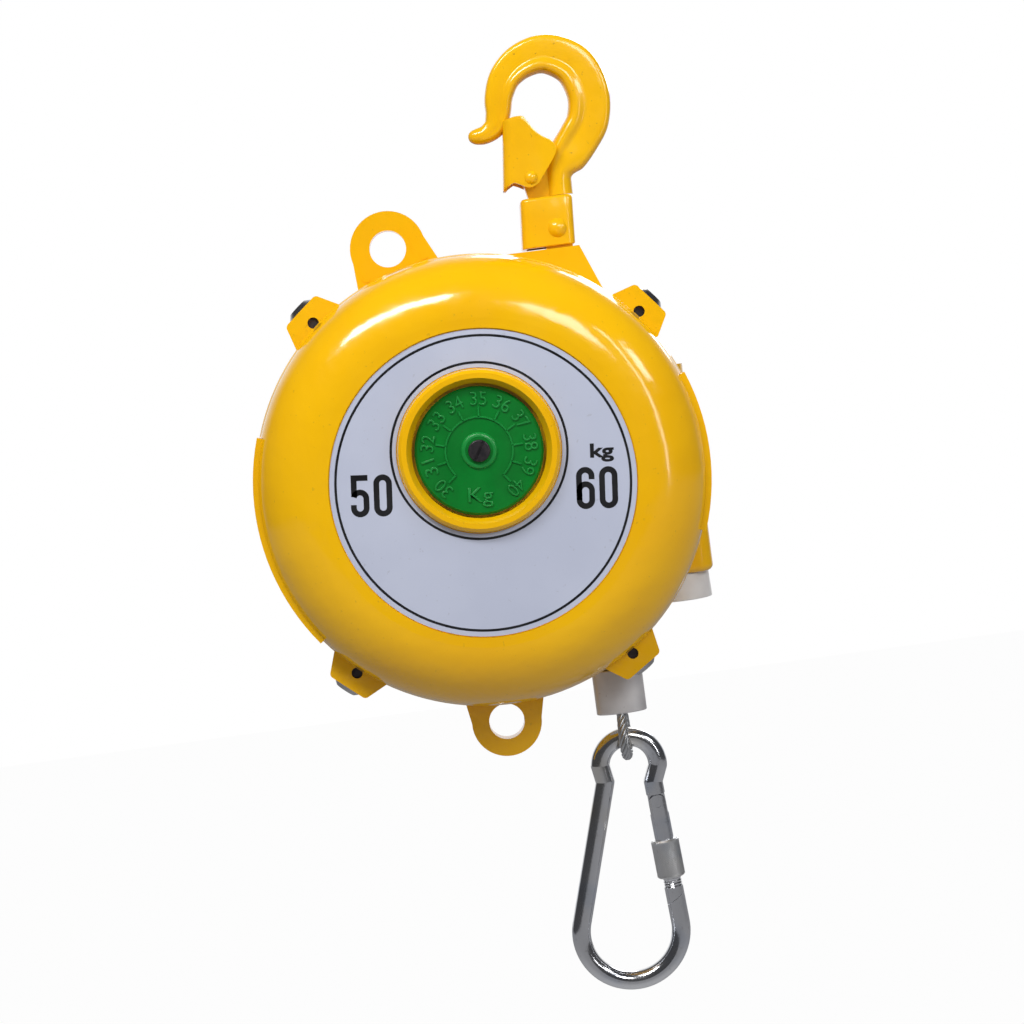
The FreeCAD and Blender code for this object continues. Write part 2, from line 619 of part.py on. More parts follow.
def worm_housing():
    """Rounded block for the worm's lower end, with a slimmer tunnel rising beside the wheel."""
    half = WORM_BLOCK_HALF
    bottom = CASE_Z + WORM_BLOCK_BOTTOM
    top = CASE_Z + WORM_BLOCK_TOP
    block = Part.makeBox(2 * half, 2 * half, top - bottom, V(WORM_X - half, WORM_Y - half, bottom))
    uprights = [e for e in block.Edges if abs(e.tangentAt(e.FirstParameter).z) > 0.99]
    block = block.makeFillet(9.0, uprights)
    rims = [e for e in block.Edges if e.BoundBox.ZLength < 1e-3]
    block = block.makeFillet(3.5, rims)
    tunnel = rod_z(WORM_X, WORM_Y, WORM_R + WALL + 1, bottom + 4, SHAFT_Z + WORM_HALF_LENGTH + 8)
    return block.fuse(tunnel)


def worm_bore():
    """Space for the worm, its two journals and the hexagonal key way from below."""
    low = SHAFT_Z - WORM_HALF_LENGTH - 1
    high = SHAFT_Z + WORM_HALF_LENGTH + 1
    bore = rod_z(WORM_X, WORM_Y, WORM_R + 1.0, low, high)
    journal = rod_z(WORM_X, WORM_Y, WORM_JOURNAL_R + RUN_FIT, CASE_Z + WORM_BLOCK_BOTTOM - 1, high + 4)
    return bore.fuse(journal)


def rear_case():
    """Pot-shaped rear case with lugs, ears, base block, suspension eye, worm housing and outlet."""
    edge = REAR_EDGE_R
    outer = turned(CASE_X, CASE_Z, [(0, PART_Y), (REAR_R, PART_Y), (REAR_R - 1.5, REAR_Y - edge),
                                   arc_middle(REAR_R - 1.5 - edge, REAR_Y - edge, edge, 45),
                                   (REAR_R - 1.5 - edge, REAR_Y), (0, REAR_Y)])
    rim = REAR_R - WALL
    small = edge - WALL
    skirt_y = PART_Y + SPIGOT_DEPTH + 1
    inner = turned(CASE_X, CASE_Z, [(0, PART_Y - 1), (rim, PART_Y - 1), (rim, skirt_y), (rim - 1.5, REAR_Y - edge),
                                   arc_middle(REAR_R - 1.5 - edge, REAR_Y - edge, small, 45),
                                   (REAR_R - 1.5 - edge, REAR_Y - WALL), (0, REAR_Y - WALL)])
    low_end = CASE_Z + WORM_BLOCK_BOTTOM
    pocket_wall = rod_z(WORM_X, WORM_Y, CAP_R + 1 + WALL, low_end - CAP_HEIGHT - WALL - 2, low_end)
    inner = inner.cut(pocket_wall)
    ears = [ear(e[0], CASE_R + e[1], e[3]) for e in EARS]
    body = outer.fuse([lug(a) for a in LUG_ANGLES] + ears + [base_block(), worm_housing()])
    body = body.cut(inner)
    wheel_room = rod_y(SHAFT_X, SHAFT_Z, WHEEL_R + 1.0, WHEEL_Y - 2, WHEEL_Y + WHEEL_T + 2)
    pocket = rod_z(WORM_X, WORM_Y, CAP_R + 1, low_end - CAP_HEIGHT - 40, low_end)
    body = body.cut([wheel_room, worm_bore(), pocket])
    boss = rod_y(SHAFT_X, SHAFT_Z, SHAFT_R + BUSH_WALL + 6, WHEEL_Y + WHEEL_T + 3, REAR_Y - 1)
    outlet_boss = rod_z(0, 0, OUTLET_BOSS_R, OUTLET_Z, OUTLET_Z + OUTLET_BOSS_H)
    outlet_boss = outlet_boss.cut(rod_y(CASE_X, CASE_Z, REAR_R - WALL - 2, -60, 60))
    body = body.fuse([boss, outlet_boss, suspension_eye()])
    body = body.cut(rod_y(SHAFT_X, SHAFT_Z, SHAFT_R + BUSH_WALL, WHEEL_Y, REAR_Y - WALL))
    body = body.cut(rod_z(0, 0, ROPE_R + 3.5, OUTLET_Z - 1, OUTLET_Z + 40))
    holes = [rod_y(*polar(e[0], CASE_R + e[1]), e[2], -20, 20) for e in EARS]
    holes += [rod_y(*polar(a, LUG_HOLE_PCD_R), LUG_HOLE_R, PART_Y - 1, PART_Y + 5.6) for a in LUG_ANGLES]
    holes.append(rod_y(YOKE_X, PIVOT_Z, PIVOT_PIN_R + RUN_FIT, -20, 20))
    body = body.cut(holes + screw_shanks(SCREW_R) + [back_pocket()])
    return body.fuse(rim_tongues(0) + ear_marks()).removeSplitter()


def label_plate():
    """Round label with the window cut out of it, in the cover's recess."""
    seat = FACE_Y + RECESS_DEPTH
    disc = rod_y(CASE_X, CASE_Z, LABEL_R, seat - LABEL_T, seat)
    return disc.cut(rod_y(SHAFT_X, SHAFT_Z, WINDOW_RING_R + 0.3, seat - 2, seat + 2))


def cover_screws():
    """Four button-head screws, radially through the lugs into the cover's skirt."""
    screws = []
    y = PART_Y + LUG_DEPTH / 2
    for angle in LUG_ANGLES:
        seat = radial_frame(angle, LUG_R, 0, y)
        axis = (radial_frame(angle, LUG_R + 1, 0, y) - seat)
        shank = Part.makeCylinder(SCREW_R, SCREW_LENGTH, seat - axis * SCREW_LENGTH, axis)
        head = Part.makeCone(SCREW_HEAD_R, SCREW_HEAD_R * 0.62, SCREW_HEAD_H, seat, axis)
        socket = Part.makeCylinder(SCREW_R * 0.6, 2.0, seat + axis * (SCREW_HEAD_H - 1.8), axis)
        screws.append(shank.fuse(head).cut(socket))
    return Part.makeCompound(screws)


def lock_screws():
    """Four small set screws in the lugs' front holes, which lock the cover screws."""
    low = PART_Y + 2.0
    high = PART_Y + LUG_DEPTH / 2 - SCREW_R - 0.5
    return Part.makeCompound([rod_y(*polar(a, LUG_HOLE_PCD_R), LUG_HOLE_R - 0.05, low, high)
                              for a in LUG_ANGLES])


def front_bush():
    """Bronze bush in the cover's bearing wall."""
    return tube_y(SHAFT_X, SHAFT_Z, SHAFT_FRONT_R + BUSH_WALL, SHAFT_FRONT_R + RUN_FIT,
                  WELL_FLOOR_Y, WELL_FLOOR_Y + WELL_FLOOR_T)


def rear_bush():
    """Bronze bush in the rear case's boss."""
    return tube_y(SHAFT_X, SHAFT_Z, SHAFT_R + BUSH_WALL, SHAFT_R + RUN_FIT,
                  WHEEL_Y + WHEEL_T + 3, REAR_Y - WALL)


def rope_guide():
    """Plastic guide in the rope outlet, with a rounded lead-in."""
    outer = ROPE_R + 3.5
    guide = tube_z(0, 0, outer, ROPE_R + 0.4, OUTLET_Z, OUTLET_Z + 12)
    flare = Part.makeCone(ROPE_R + 0.4, ROPE_R + 2.4, 3.0, V(0, 0, OUTLET_Z + 9), AXIS_Z)
    return guide.cut(flare)


def rope_bumper():
    """Rubber buffer under the outlet that the ferrule stops against."""
    ring = tube_z(0, 0, BUMPER_R, ROPE_R + 0.4, OUTLET_Z - BUMPER_H, OUTLET_Z)
    lower = [e for e in ring.Edges if abs(e.BoundBox.ZMax - (OUTLET_Z - BUMPER_H)) < 1e-3
             and e.BoundBox.XLength > 1.9 * BUMPER_R]
    return ring.makeFillet(1.5, lower)


# ---------------------------------------------------------------- tension shaft, wheel, dial, worm
def main_shaft():
    """Stepped shaft with the spring's arbor slot; it stands still unless the worm turns it."""
    wide_front = WELL_FLOOR_Y + WELL_FLOOR_T + 1.0
    shaft = rod_y(SHAFT_X, SHAFT_Z, SHAFT_R, wide_front, REAR_Y - WALL - 0.5)
    front = rod_y(SHAFT_X, SHAFT_Z, SHAFT_FRONT_R, WELL_FLOOR_Y - 0.5, wide_front)
    return shaft.fuse(front)


def lead_tangent():
    """Slope of the worm's thread at its pitch radius."""
    return WORM_LEAD / (2 * math.pi * WORM_PITCH_R)


def tooth_space():
    """Slanted space between two wheel teeth, on the side that faces the worm."""
    flank = math.tan(math.radians(FLANK_ANGLE))
    quarter = WORM_LEAD / 4
    low = WHEEL_PITCH_R - TOOTH_DROP * MODULE
    high = WHEEL_R + 1
    low_half = quarter + BACKLASH + (low - WHEEL_PITCH_R) * flank
    high_half = quarter + BACKLASH + (high - WHEEL_PITCH_R) * flank
    depth = WHEEL_T + 2
    shift = lead_tangent() * depth / 2
    corners = [V(low, 0, -low_half), V(high, 0, -high_half), V(high, 0, high_half), V(low, 0, low_half)]
    face = Part.Face(Part.makePolygon(corners + corners[:1]))
    face.translate(V(0, WHEEL_Y - 1, shift))
    return face.extrude(V(0, depth, -2 * shift))


def worm_wheel():
    """Worm wheel keyed on the shaft: slanted teeth round the rim, its web thinned and pierced."""
    wheel = tube_y(0, 0, WHEEL_R, SHAFT_R, WHEEL_Y, WHEEL_Y + WHEEL_T)
    rim_r = WHEEL_PITCH_R - 12
    dish = tube_y(0, 0, rim_r, WHEEL_HUB_R, WHEEL_Y - 1, WHEEL_Y + 3)
    dish_back = tube_y(0, 0, rim_r, WHEEL_HUB_R, WHEEL_Y + WHEEL_T - 3, WHEEL_Y + WHEEL_T + 1)
    cutters = [dish, dish_back]
    reach = (rim_r + WHEEL_HUB_R) / 2
    for i in range(WEB_HOLES):
        a = math.radians(360 * (i + 0.5) / WEB_HOLES)
        cutters.append(rod_y(reach * math.cos(a), reach * math.sin(a), WEB_HOLE_R, WHEEL_Y - 1, WHEEL_Y + WHEEL_T + 1))
    for i in range(WHEEL_TEETH):
        space = tooth_space()
        space.rotate(V(0, 0, 0), AXIS_Y, 360 * i / WHEEL_TEETH)
        cutters.append(space)
    wheel = wheel.cut(cutters)
    wheel.translate(V(SHAFT_X, 0, SHAFT_Z))
    return wheel


def dial():
    """Tension dial on the front end of the shaft, with its raised centre boss."""
    back = WELL_FLOOR_Y - 0.5
    disc = turned(SHAFT_X, SHAFT_Z, [(0, back), (DIAL_R, back), (DIAL_R, back - DIAL_T + 1.2),
                                    (DIAL_R - 1.2, back - DIAL_T), (0, back - DIAL_T)])
    boss = rod_y(SHAFT_X, SHAFT_Z, DIAL_BOSS_R, back - DIAL_T - 1.2, back - DIAL_T)
    bore = rod_y(SHAFT_X, SHAFT_Z, DIAL_SCREW_R * 0.5, back - DIAL_T - 5, back + 1)
    return disc.fuse(boss).cut(bore)


def dial_screw():
    """Slotted cheese-head screw that clamps the dial on the shaft."""
    seat = WELL_FLOOR_Y - 0.5 - DIAL_T - 1.2
    head = rod_y(SHAFT_X, SHAFT_Z, DIAL_SCREW_R, seat - 2.4, seat)
    rim = [e for e in head.Edges if e.BoundBox.YMax < seat - 2.3]
    head = head.makeFillet(0.8, rim)
    shank = rod_y(SHAFT_X, SHAFT_Z, DIAL_SCREW_R * 0.5, seat - 0.1, WELL_FLOOR_Y - 0.5)
    slot = Part.makeBox(4 * DIAL_SCREW_R, 1.2, 1.5, V(-2 * DIAL_SCREW_R, 0, -0.75))
    slot.rotate(V(0, 0, 0), AXIS_Y, -58)
    slot.translate(V(SHAFT_X, seat - 2.5, SHAFT_Z))
    return head.fuse(shank).cut(slot)


def worm_thread():
    """Right-handed thread whose ridge faces the wheel's axis at the shaft's height."""
    flank = math.tan(math.radians(FLANK_ANGLE))
    quarter = WORM_LEAD / 4
    inner = WORM_ROOT_R - 1.0
    root_half = quarter + (WORM_PITCH_R - inner) * flank
    tip_half = quarter - (WORM_R - WORM_PITCH_R) * flank
    corners = [V(-inner, 0, -root_half), V(-WORM_R, 0, -tip_half), V(-WORM_R, 0, tip_half), V(-inner, 0, root_half)]
    turns = math.ceil(WORM_HALF_LENGTH / WORM_LEAD) + 1
    helix = Part.makeHelix(WORM_LEAD, 2 * turns * WORM_LEAD, WORM_PITCH_R)
    helix.rotate(V(0, 0, 0), AXIS_Z, 180)
    thread = Part.Wire(helix.Edges).makePipeShell([Part.makePolygon(corners + corners[:1])], True, True)
    thread.translate(V(WORM_X, WORM_Y, SHAFT_Z - turns * WORM_LEAD))
    length = rod_z(WORM_X, WORM_Y, WORM_R + 1, SHAFT_Z - WORM_HALF_LENGTH, SHAFT_Z + WORM_HALF_LENGTH)
    return thread.common(length)


def worm():
    """Worm with its thread, two journals and the hexagon socket at the lower end."""
    body = rod_z(WORM_X, WORM_Y, WORM_ROOT_R, SHAFT_Z - WORM_HALF_LENGTH, SHAFT_Z + WORM_HALF_LENGTH)
    foot = CASE_Z + WORM_BLOCK_BOTTOM + 1.0
    journals = rod_z(WORM_X, WORM_Y, WORM_JOURNAL_R, foot, SHAFT_Z + WORM_HALF_LENGTH + 4.5)
    hexagon = Part.makePolygon([V(WORM_X + HEX_R * math.cos(math.radians(60 * i)),
                                  WORM_Y + HEX_R * math.sin(math.radians(60 * i)), foot - 1) for i in range(7)])
    socket = Part.Face(hexagon).extrude(V(0, 0, 9))
    return body.fuse([journals, worm_thread()]).cut(socket)


def worm_cap():
    """Pull-off plastic cap over the worm's socket, held by a plug in the bore."""
    top = CASE_Z + WORM_BLOCK_BOTTOM - BODY_GAP
    cup = Part.makeCone(CAP_R + CAP_FLARE, CAP_R, CAP_HEIGHT, V(WORM_X, WORM_Y, top - CAP_HEIGHT), AXIS_Z)
    rim = [e for e in cup.Edges if e.BoundBox.ZMax < top - CAP_HEIGHT + 0.1]
    cup = cup.makeFillet(0.5, rim)
    hollow = rod_z(WORM_X, WORM_Y, CAP_R - CAP_WALL, top - CAP_HEIGHT + CAP_WALL, top + 1)
    return cup.cut(hollow)


# ---------------------------------------------------------------- drum and mainspring
def cone_radius(y):
    """Pitch radius of the drum at rope centre y."""
    travel = ROPE_PITCH * ROPE_TURNS
    return ROPE_SMALL_R + (DRUM_LARGE_R - ROPE_SMALL_R) * (DRUM_SMALL_Y - y) / travel


def groove_rings():
    """Rope centre (radius, y) of each turn, from the small end."""
    turns = int(round(ROPE_TURNS))
    return [(cone_radius(DRUM_SMALL_Y - ROPE_PITCH * i), DRUM_SMALL_Y - ROPE_PITCH * i)
            for i in range(turns + 1)]


def rope_drum():
    """Cup-shaped conical drum: rope grooves that step out turn by turn, mainspring cavity inside."""
    cup_r = SPRING_CAVITY_R + DRUM_WEB
    groove_r = ROPE_R + GROOVE_FIT
    rings = groove_rings()
    flange_y = rings[-1][1] - groove_r
    outline = [(SHAFT_R + BUSH_WALL, DRUM_REAR_Y), (ROPE_SMALL_R, DRUM_REAR_Y),
               (ROPE_SMALL_R, DRUM_SMALL_Y + groove_r)]
    for radius, y in rings:
        outline += [(radius - groove_r, y, "via"), (radius, y - groove_r)]
        next_r = cone_radius(y - ROPE_PITCH)
        if y - groove_r > flange_y + 0.1:
            outline += [(next_r, y - groove_r), (next_r, y - ROPE_PITCH + groove_r)]
    rim = rings[-1][0] + DRUM_RIM
    outline += [(rim, flange_y), (rim, flange_y - DRUM_WEB), (cup_r + 6.0, flange_y - DRUM_WEB),
                (cup_r, flange_y - DRUM_WEB - 6.0), (cup_r, DRUM_FRONT_Y), (SPRING_CAVITY_R, DRUM_FRONT_Y),
                (SPRING_CAVITY_R, DRUM_REAR_Y - DRUM_WEB), (SHAFT_R + BUSH_WALL, DRUM_REAR_Y - DRUM_WEB)]
    return turned(SHAFT_X, SHAFT_Z, outline)


def wound_rope():
    """Rope on the drum: one ring for each turn; the last turn stops where the rope leaves."""
    rings = groove_rings()
    turns = [Part.makeTorus(r, ROPE_R, V(SHAFT_X, y, SHAFT_Z), AXIS_Y) for r, y in rings[1:]]
    radius, y = rings[0]
    leaving = V(SHAFT_X + radius, y, SHAFT_Z)
    section = Part.Face(Part.Wire(Part.makeCircle(ROPE_R, leaving, AXIS_Z)))
    turns.append(section.revolve(V(SHAFT_X, 0, SHAFT_Z), AXIS_Y, -LAST_TURN))
    return Part.makeCompound(turns)


def drum_bush():
    """Bronze bush in the drum's hub, running on the shaft."""
    return tube_y(SHAFT_X, SHAFT_Z, SHAFT_R + BUSH_WALL, SHAFT_R + RUN_FIT,
                  DRUM_REAR_Y - DRUM_WEB, DRUM_REAR_Y)


def spring_cover():
    """Disc that closes the mainspring's cavity at the drum's open end."""
    plate = tube_y(SHAFT_X, SHAFT_Z, SPRING_CAVITY_R + DRUM_WEB, SHAFT_R + RUN_FIT,
                   DRUM_FRONT_Y - 2.0, DRUM_FRONT_Y)
    return plate


def mainspring():
    """Flat spiral spring of half-circle arcs, from the shaft's arbor to the cavity wall."""
    first = SHAFT_R + 0.3
    last = SPRING_CAVITY_R - 0.3
    step = (last - first - SPRING_STRIP) / (2 * SPRING_TURNS)

    def spiral(offset):
        arcs = []
        for i in range(2 * SPRING_TURNS):
            start = first + offset + step * i
            end = start + step
            side = 1 if i % 2 == 0 else -1
            a = V(SHAFT_X + side * start, 0, SHAFT_Z)
            b = V(SHAFT_X - side * end, 0, SHAFT_Z)
            centre = (a + b) * 0.5
            top = centre + V(0, 0, side * (start + end) / 2)
            arcs.append(Part.Arc(a, top, b).toShape())
        return arcs

    inner, outer = spiral(0), spiral(SPRING_STRIP)
    ends = [Part.makeLine(inner[0].Vertexes[0].Point, outer[0].Vertexes[0].Point),
            Part.makeLine(inner[-1].Vertexes[1].Point, outer[-1].Vertexes[1].Point)]
    face = Part.Face(Part.Wire(Part.__sortEdges__(inner + outer + ends)))
    low = DRUM_FRONT_Y + SPRING_GAP
    face.translate(V(0, low, 0))
    return face.extrude(V(0, DRUM_REAR_Y - DRUM_WEB - SPRING_GAP - low, 0))


# ---------------------------------------------------------------- rope end
def rope_fall():
    """Rope from the drum's side down to the ferrule."""
    return rod_z(0, 0, ROPE_R, FERRULE_TOP_Z, SHAFT_Z)


def ferrule():
    """Oval aluminium sleeve pressed on the rope and the loop's return leg."""
    curve = Part.Ellipse(V(0, 0, FERRULE_BOTTOM_Z), FERRULE_HALF_X, FERRULE_HALF_Y)
    sleeve = Part.Face(Part.Wire(curve.toShape())).extrude(V(0, 0, FERRULE_TOP_Z - FERRULE_BOTTOM_Z))
    rims = [e for e in sleeve.Edges if e.BoundBox.ZLength < 1e-3]
    return sleeve.makeFillet(0.8, rims)


def loop_centre_z():
    """Height of the rope loop's centre, from the carabiner hanging in its thimble."""
    return FERRULE_BOTTOM_Z - 12.9


def loop_frame(shape):
    """Turn a shape made in the YZ plane to the loop's own plane."""
    shape.rotate(V(0, 0, 0), AXIS_Z, -EYE_TURN)
    return shape


def rope_eye():
    """Rope loop: two legs that open from the ferrule round the thimble."""
    zc = loop_centre_z()
    half = math.radians(24)
    spread_y = EYE_LOOP_R * math.cos(half)
    spread_z = zc + EYE_LOOP_R * math.sin(half)
    left = V(0, -spread_y, spread_z)
    right = V(0, spread_y, spread_z)
    bow = Part.Arc(left, V(0, 0, zc - EYE_LOOP_R), right).toShape()
    foot = FERRULE_BOTTOM_Z
    legs = [Part.makeLine(V(0, -LEG_OFFSET, foot), left), Part.makeLine(right, V(0, LEG_OFFSET, foot))]
    path = Part.Wire([legs[0], bow, legs[1]])
    loop = swept_round(path, ROPE_R)
    loop = loop.cut(Part.makeBox(60, 60, 20, V(-30, -30, foot)))
    return loop_frame(loop)


def thimble():
    """Steel liner inside the loop."""
    zc = loop_centre_z()
    outer = EYE_LOOP_R - ROPE_R - 0.02
    ring = Part.makeCylinder(outer, THIMBLE_WIDTH, V(-THIMBLE_WIDTH / 2, 0, zc), V(1, 0, 0))
    ring = ring.cut(Part.makeCylinder(outer - THIMBLE_T, THIMBLE_WIDTH + 2, V(-THIMBLE_WIDTH / 2 - 1, 0, zc),
                                      V(1, 0, 0)))
    ring = ring.cut(Part.makeBox(30, 30, 30, V(-15, -15, zc + THIMBLE_T)))
    return loop_frame(ring)


# ---------------------------------------------------------------- carabiner
def snap_path():
    """Centre-line points (bow end, neck, low end) of the right side, from the top bow's centre line."""
    top_r = SNAP_TOP_HALF - WIRE_R
    low_r = SNAP_BOTTOM_HALF - WIRE_R
    low_centre = V(0, 0, low_r + 2 * WIRE_R - SNAP_LENGTH)
    neck = V(top_r - NECK_INSET, 0, WIRE_R - NECK_DROP)
    reach = (neck - low_centre).Length
    tilt = math.atan2(neck.z - low_centre.z, neck.x) - math.acos(low_r / reach)
    low = low_centre + V(low_r * math.cos(tilt), 0, low_r * math.sin(tilt))
    return V(top_r, 0, -top_r), neck, low, low_centre


def mirrored(point):
    """The same point on the left side."""
    return V(-point.x, point.y, point.z)


def snap_place(shape):
    """Move a carabiner piece from its own frame to the thimble, leaning about the bow's centre."""
    shape.rotate(V(0, 0, WIRE_R - SNAP_TOP_HALF), AXIS_Y, SNAP_LEAN)
    shape.translate(V(0, 0, snap_top_z()))
    return shape


def snap_top_z():
    """Height of the carabiner wire's centre line where it hangs in the thimble."""
    return loop_centre_z() - (EYE_LOOP_R - ROPE_R - THIMBLE_T) + WIRE_R + SADDLE_GAP


def limb_point(drop):
    """Point on the gate limb's centre line at a drop below the top of the bow."""
    _, neck, low, _ = snap_path()
    run = low - neck
    return neck + run * ((WIRE_R - drop - neck.z) / run.z)


def limb_direction():
    """Direction down the gate limb."""
    _, neck, low, _ = snap_path()
    return (low - neck).normalize()


def limb_rod(radius, top, bottom):
    """Cylinder on the gate limb's centre line between two drops."""
    start, end = limb_point(top), limb_point(bottom)
    return Part.makeCylinder(radius, (end - start).Length, start, end - start)


def limb_slab(half_y, top, bottom):
    """Flat slab in the limb's middle between two drops, wider than the bar."""
    start, end = limb_point(top), limb_point(bottom)
    length = (end - start).Length
    slab = Part.makeBox(4 * WIRE_R, 2 * half_y, length, V(-2 * WIRE_R, -half_y, -length))
    slab.rotate(V(0, 0, 0), AXIS_Y, -math.degrees(math.atan2(end.x - start.x, start.z - end.z)))
    slab.translate(start)
    return slab


def above_slant(lift):
    """Block on the gate's side of the slanted joint, its face lifted off by a distance."""
    size = GATE_BOTTOM
    block = Part.makeBox(2 * size, 2 * size, 2 * size, V(-size, -size, lift))
    block.rotate(V(0, 0, 0), AXIS_Y, -GATE_SLANT)
    block.translate(limb_point(GATE_BOTTOM))
    return block


def thread_grooves(top, bottom):
    """V grooves round the limb between two drops, as the sleeve's thread."""
    start, end = limb_point(top), limb_point(bottom)
    crest = WIRE_R - RUN_FIT
    count = int((end - start).Length / THREAD_PITCH)
    outline = [V(WIRE_R + 1, 0, 0), V(crest, 0, 0)]
    for i in range(count):
        outline += [V(crest - THREAD_DEPTH, 0, (i + 0.5) * THREAD_PITCH), V(crest, 0, (i + 1) * THREAD_PITCH)]
    outline += [V(WIRE_R + 1, 0, count * THREAD_PITCH), outline[0]]
    grooves = Part.Face(Part.makePolygon(outline)).revolve(V(0, 0, 0), AXIS_Z, 360)
    grooves.Placement = FreeCAD.Placement(start, FreeCAD.Rotation(AXIS_Z, end - start))
    return grooves


def carabiner_body():
    """Bent round bar: small bow above, wide bow below, with a flat tongue for the gate."""
    bow_end, neck, low, low_centre = snap_path()
    low_r = SNAP_BOTTOM_HALF - WIRE_R
    bow = Part.Arc(mirrored(bow_end), V(0, 0, 0), bow_end).toShape()
    low_bow = Part.Arc(low, low_centre - V(0, 0, low_r), mirrored(low)).toShape()
    solid = swept_round(Part.Wire([bow]), WIRE_R).fuse(swept_round(Part.Wire([low_bow]), WIRE_R))
    bars = []
    for start, end in ((bow_end, neck), (neck, low)):
        for a, b in ((start, end), (mirrored(start), mirrored(end))):
            bars.append(Part.makeCylinder(WIRE_R, (b - a).Length, a, b - a))
        bars += [Part.makeSphere(WIRE_R, start), Part.makeSphere(WIRE_R, mirrored(start))]
    solid = solid.fuse(bars)
    gap_top = GATE_PIN_DROP - WIRE_R - BODY_GAP
    gate_room = limb_rod(WIRE_R + 1, gap_top, GATE_BOTTOM + 2 * WIRE_R).common(above_slant(0))
    solid = solid.cut(gate_room)
    tongue = limb_slab(TONGUE_HALF_Y, gap_top - 1, GATE_PIN_DROP)
    tongue = tongue.common(limb_rod(WIRE_R - 0.4, gap_top - 1, GATE_PIN_DROP))
    pin_at = limb_point(GATE_PIN_DROP)
    round_end = rod_y(pin_at.x, pin_at.z, WIRE_R - 0.4, -TONGUE_HALF_Y, TONGUE_HALF_Y)
    pin_hole = rod_y(pin_at.x, pin_at.z, GATE_PIN_R + RUN_FIT, -WIRE_R, WIRE_R)
    solid = solid.fuse([tongue, round_end]).cut(pin_hole)
    return snap_place(solid.removeSplitter())


def gate():
    """Straight gate with a fork round the tongue and threads' barrel for the screw sleeve."""
    bar = limb_rod(WIRE_R, GATE_PIN_DROP, GATE_BOTTOM + 2 * WIRE_R).common(above_slant(BODY_GAP))
    bar = bar.cut(thread_grooves(SLEEVE_TOP + 2, GATE_BOTTOM - WIRE_R))
    pin_at = limb_point(GATE_PIN_DROP)
    head = rod_y(pin_at.x, pin_at.z, WIRE_R, -WIRE_R, WIRE_R)
    head = head.common(limb_rod(WIRE_R, GATE_PIN_DROP - 2 * WIRE_R, GATE_PIN_DROP + WIRE_R))
    solid = bar.fuse(head)
    slot = limb_slab(TONGUE_HALF_Y + BODY_GAP, GATE_PIN_DROP - 2 * WIRE_R, GATE_PIN_DROP + WIRE_R + BODY_GAP)
    pin_hole = rod_y(pin_at.x, pin_at.z, GATE_PIN_R, -2 * WIRE_R, 2 * WIRE_R)
    return snap_place(solid.cut([slot, pin_hole]).removeSplitter())


def gate_pin():
    """Rivet through fork and tongue."""
    pin_at = limb_point(GATE_PIN_DROP)
    length = WIRE_R - 0.5
    return snap_place(rod_y(pin_at.x, pin_at.z, GATE_PIN_R, -length, length))


def screw_sleeve():
    """Knurled sleeve on the gate that screws down over the joint to lock it."""
    sleeve = limb_rod(SLEEVE_R, SLEEVE_TOP, SLEEVE_TOP + SLEEVE_LENGTH)
    rims = [e for e in sleeve.Edges if len(e.Vertexes) == 1]
    sleeve = sleeve.makeChamfer(0.8, rims)
    return snap_place(sleeve.cut(limb_rod(WIRE_R + RUN_FIT, SLEEVE_TOP - 5, SLEEVE_TOP + SLEEVE_LENGTH + 5)))


# ---------------------------------------------------------------- export
NODES = {
    "hook": hook, "swivel_nut": swivel_nut, "latch_pin": latch_pin,
    "latch": latch, "latch_spring": latch_spring,
    "yoke": yoke, "swivel_washer": swivel_washer, "pivot_pin": pivot_pin,
    "front_cover": front_cover, "rear_case": rear_case, "label_plate": label_plate,
    "cover_screws": cover_screws, "lock_screws": lock_screws, "front_bush": front_bush,
    "rear_bush": rear_bush, "rope_guide": rope_guide, "rope_bumper": rope_bumper,
    "main_shaft": main_shaft, "worm_wheel": worm_wheel, "dial": dial, "dial_screw": dial_screw,
    "worm": worm, "worm_cap": worm_cap,
    "rope_drum": rope_drum, "wound_rope": wound_rope, "drum_bush": drum_bush,
    "spring_cover": spring_cover, "mainspring": mainspring,
    "rope_fall": rope_fall, "ferrule": ferrule, "rope_eye": rope_eye, "thimble": thimble,
    "carabiner_body": carabiner_body, "gate": gate, "gate_pin": gate_pin,
    "screw_sleeve": screw_sleeve,
}


def main():
    """Build every node and write it to parts/NODE.step."""
    os.makedirs("parts", exist_ok=True)
    for name, make in NODES.items():
        shape = make()
        shape.exportStep(f"parts/{name}.step")
        print(f"{name}: {len(shape.Solids)} solid(s), {shape.Volume / 1000:.2f} cm3")
    at = snap_place(Part.Vertex(limb_point(GATE_PIN_DROP))).Point
    print(f"gate pin at {at.x:.3f}, {at.z:.3f}; carabiner hangs at {snap_top_z():.3f}")


if __name__ == "__main__":
    main()
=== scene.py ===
"""Looks of a hanging tool balancer: enamelled case, printed plate, tension dial, hook and snap hook."""

import json
import logging
import math
from dataclasses import dataclass, field, replace
from enum import Enum
from typing import Iterable, Sequence

import bmesh
import bpy
from mathutils import Matrix, Vector


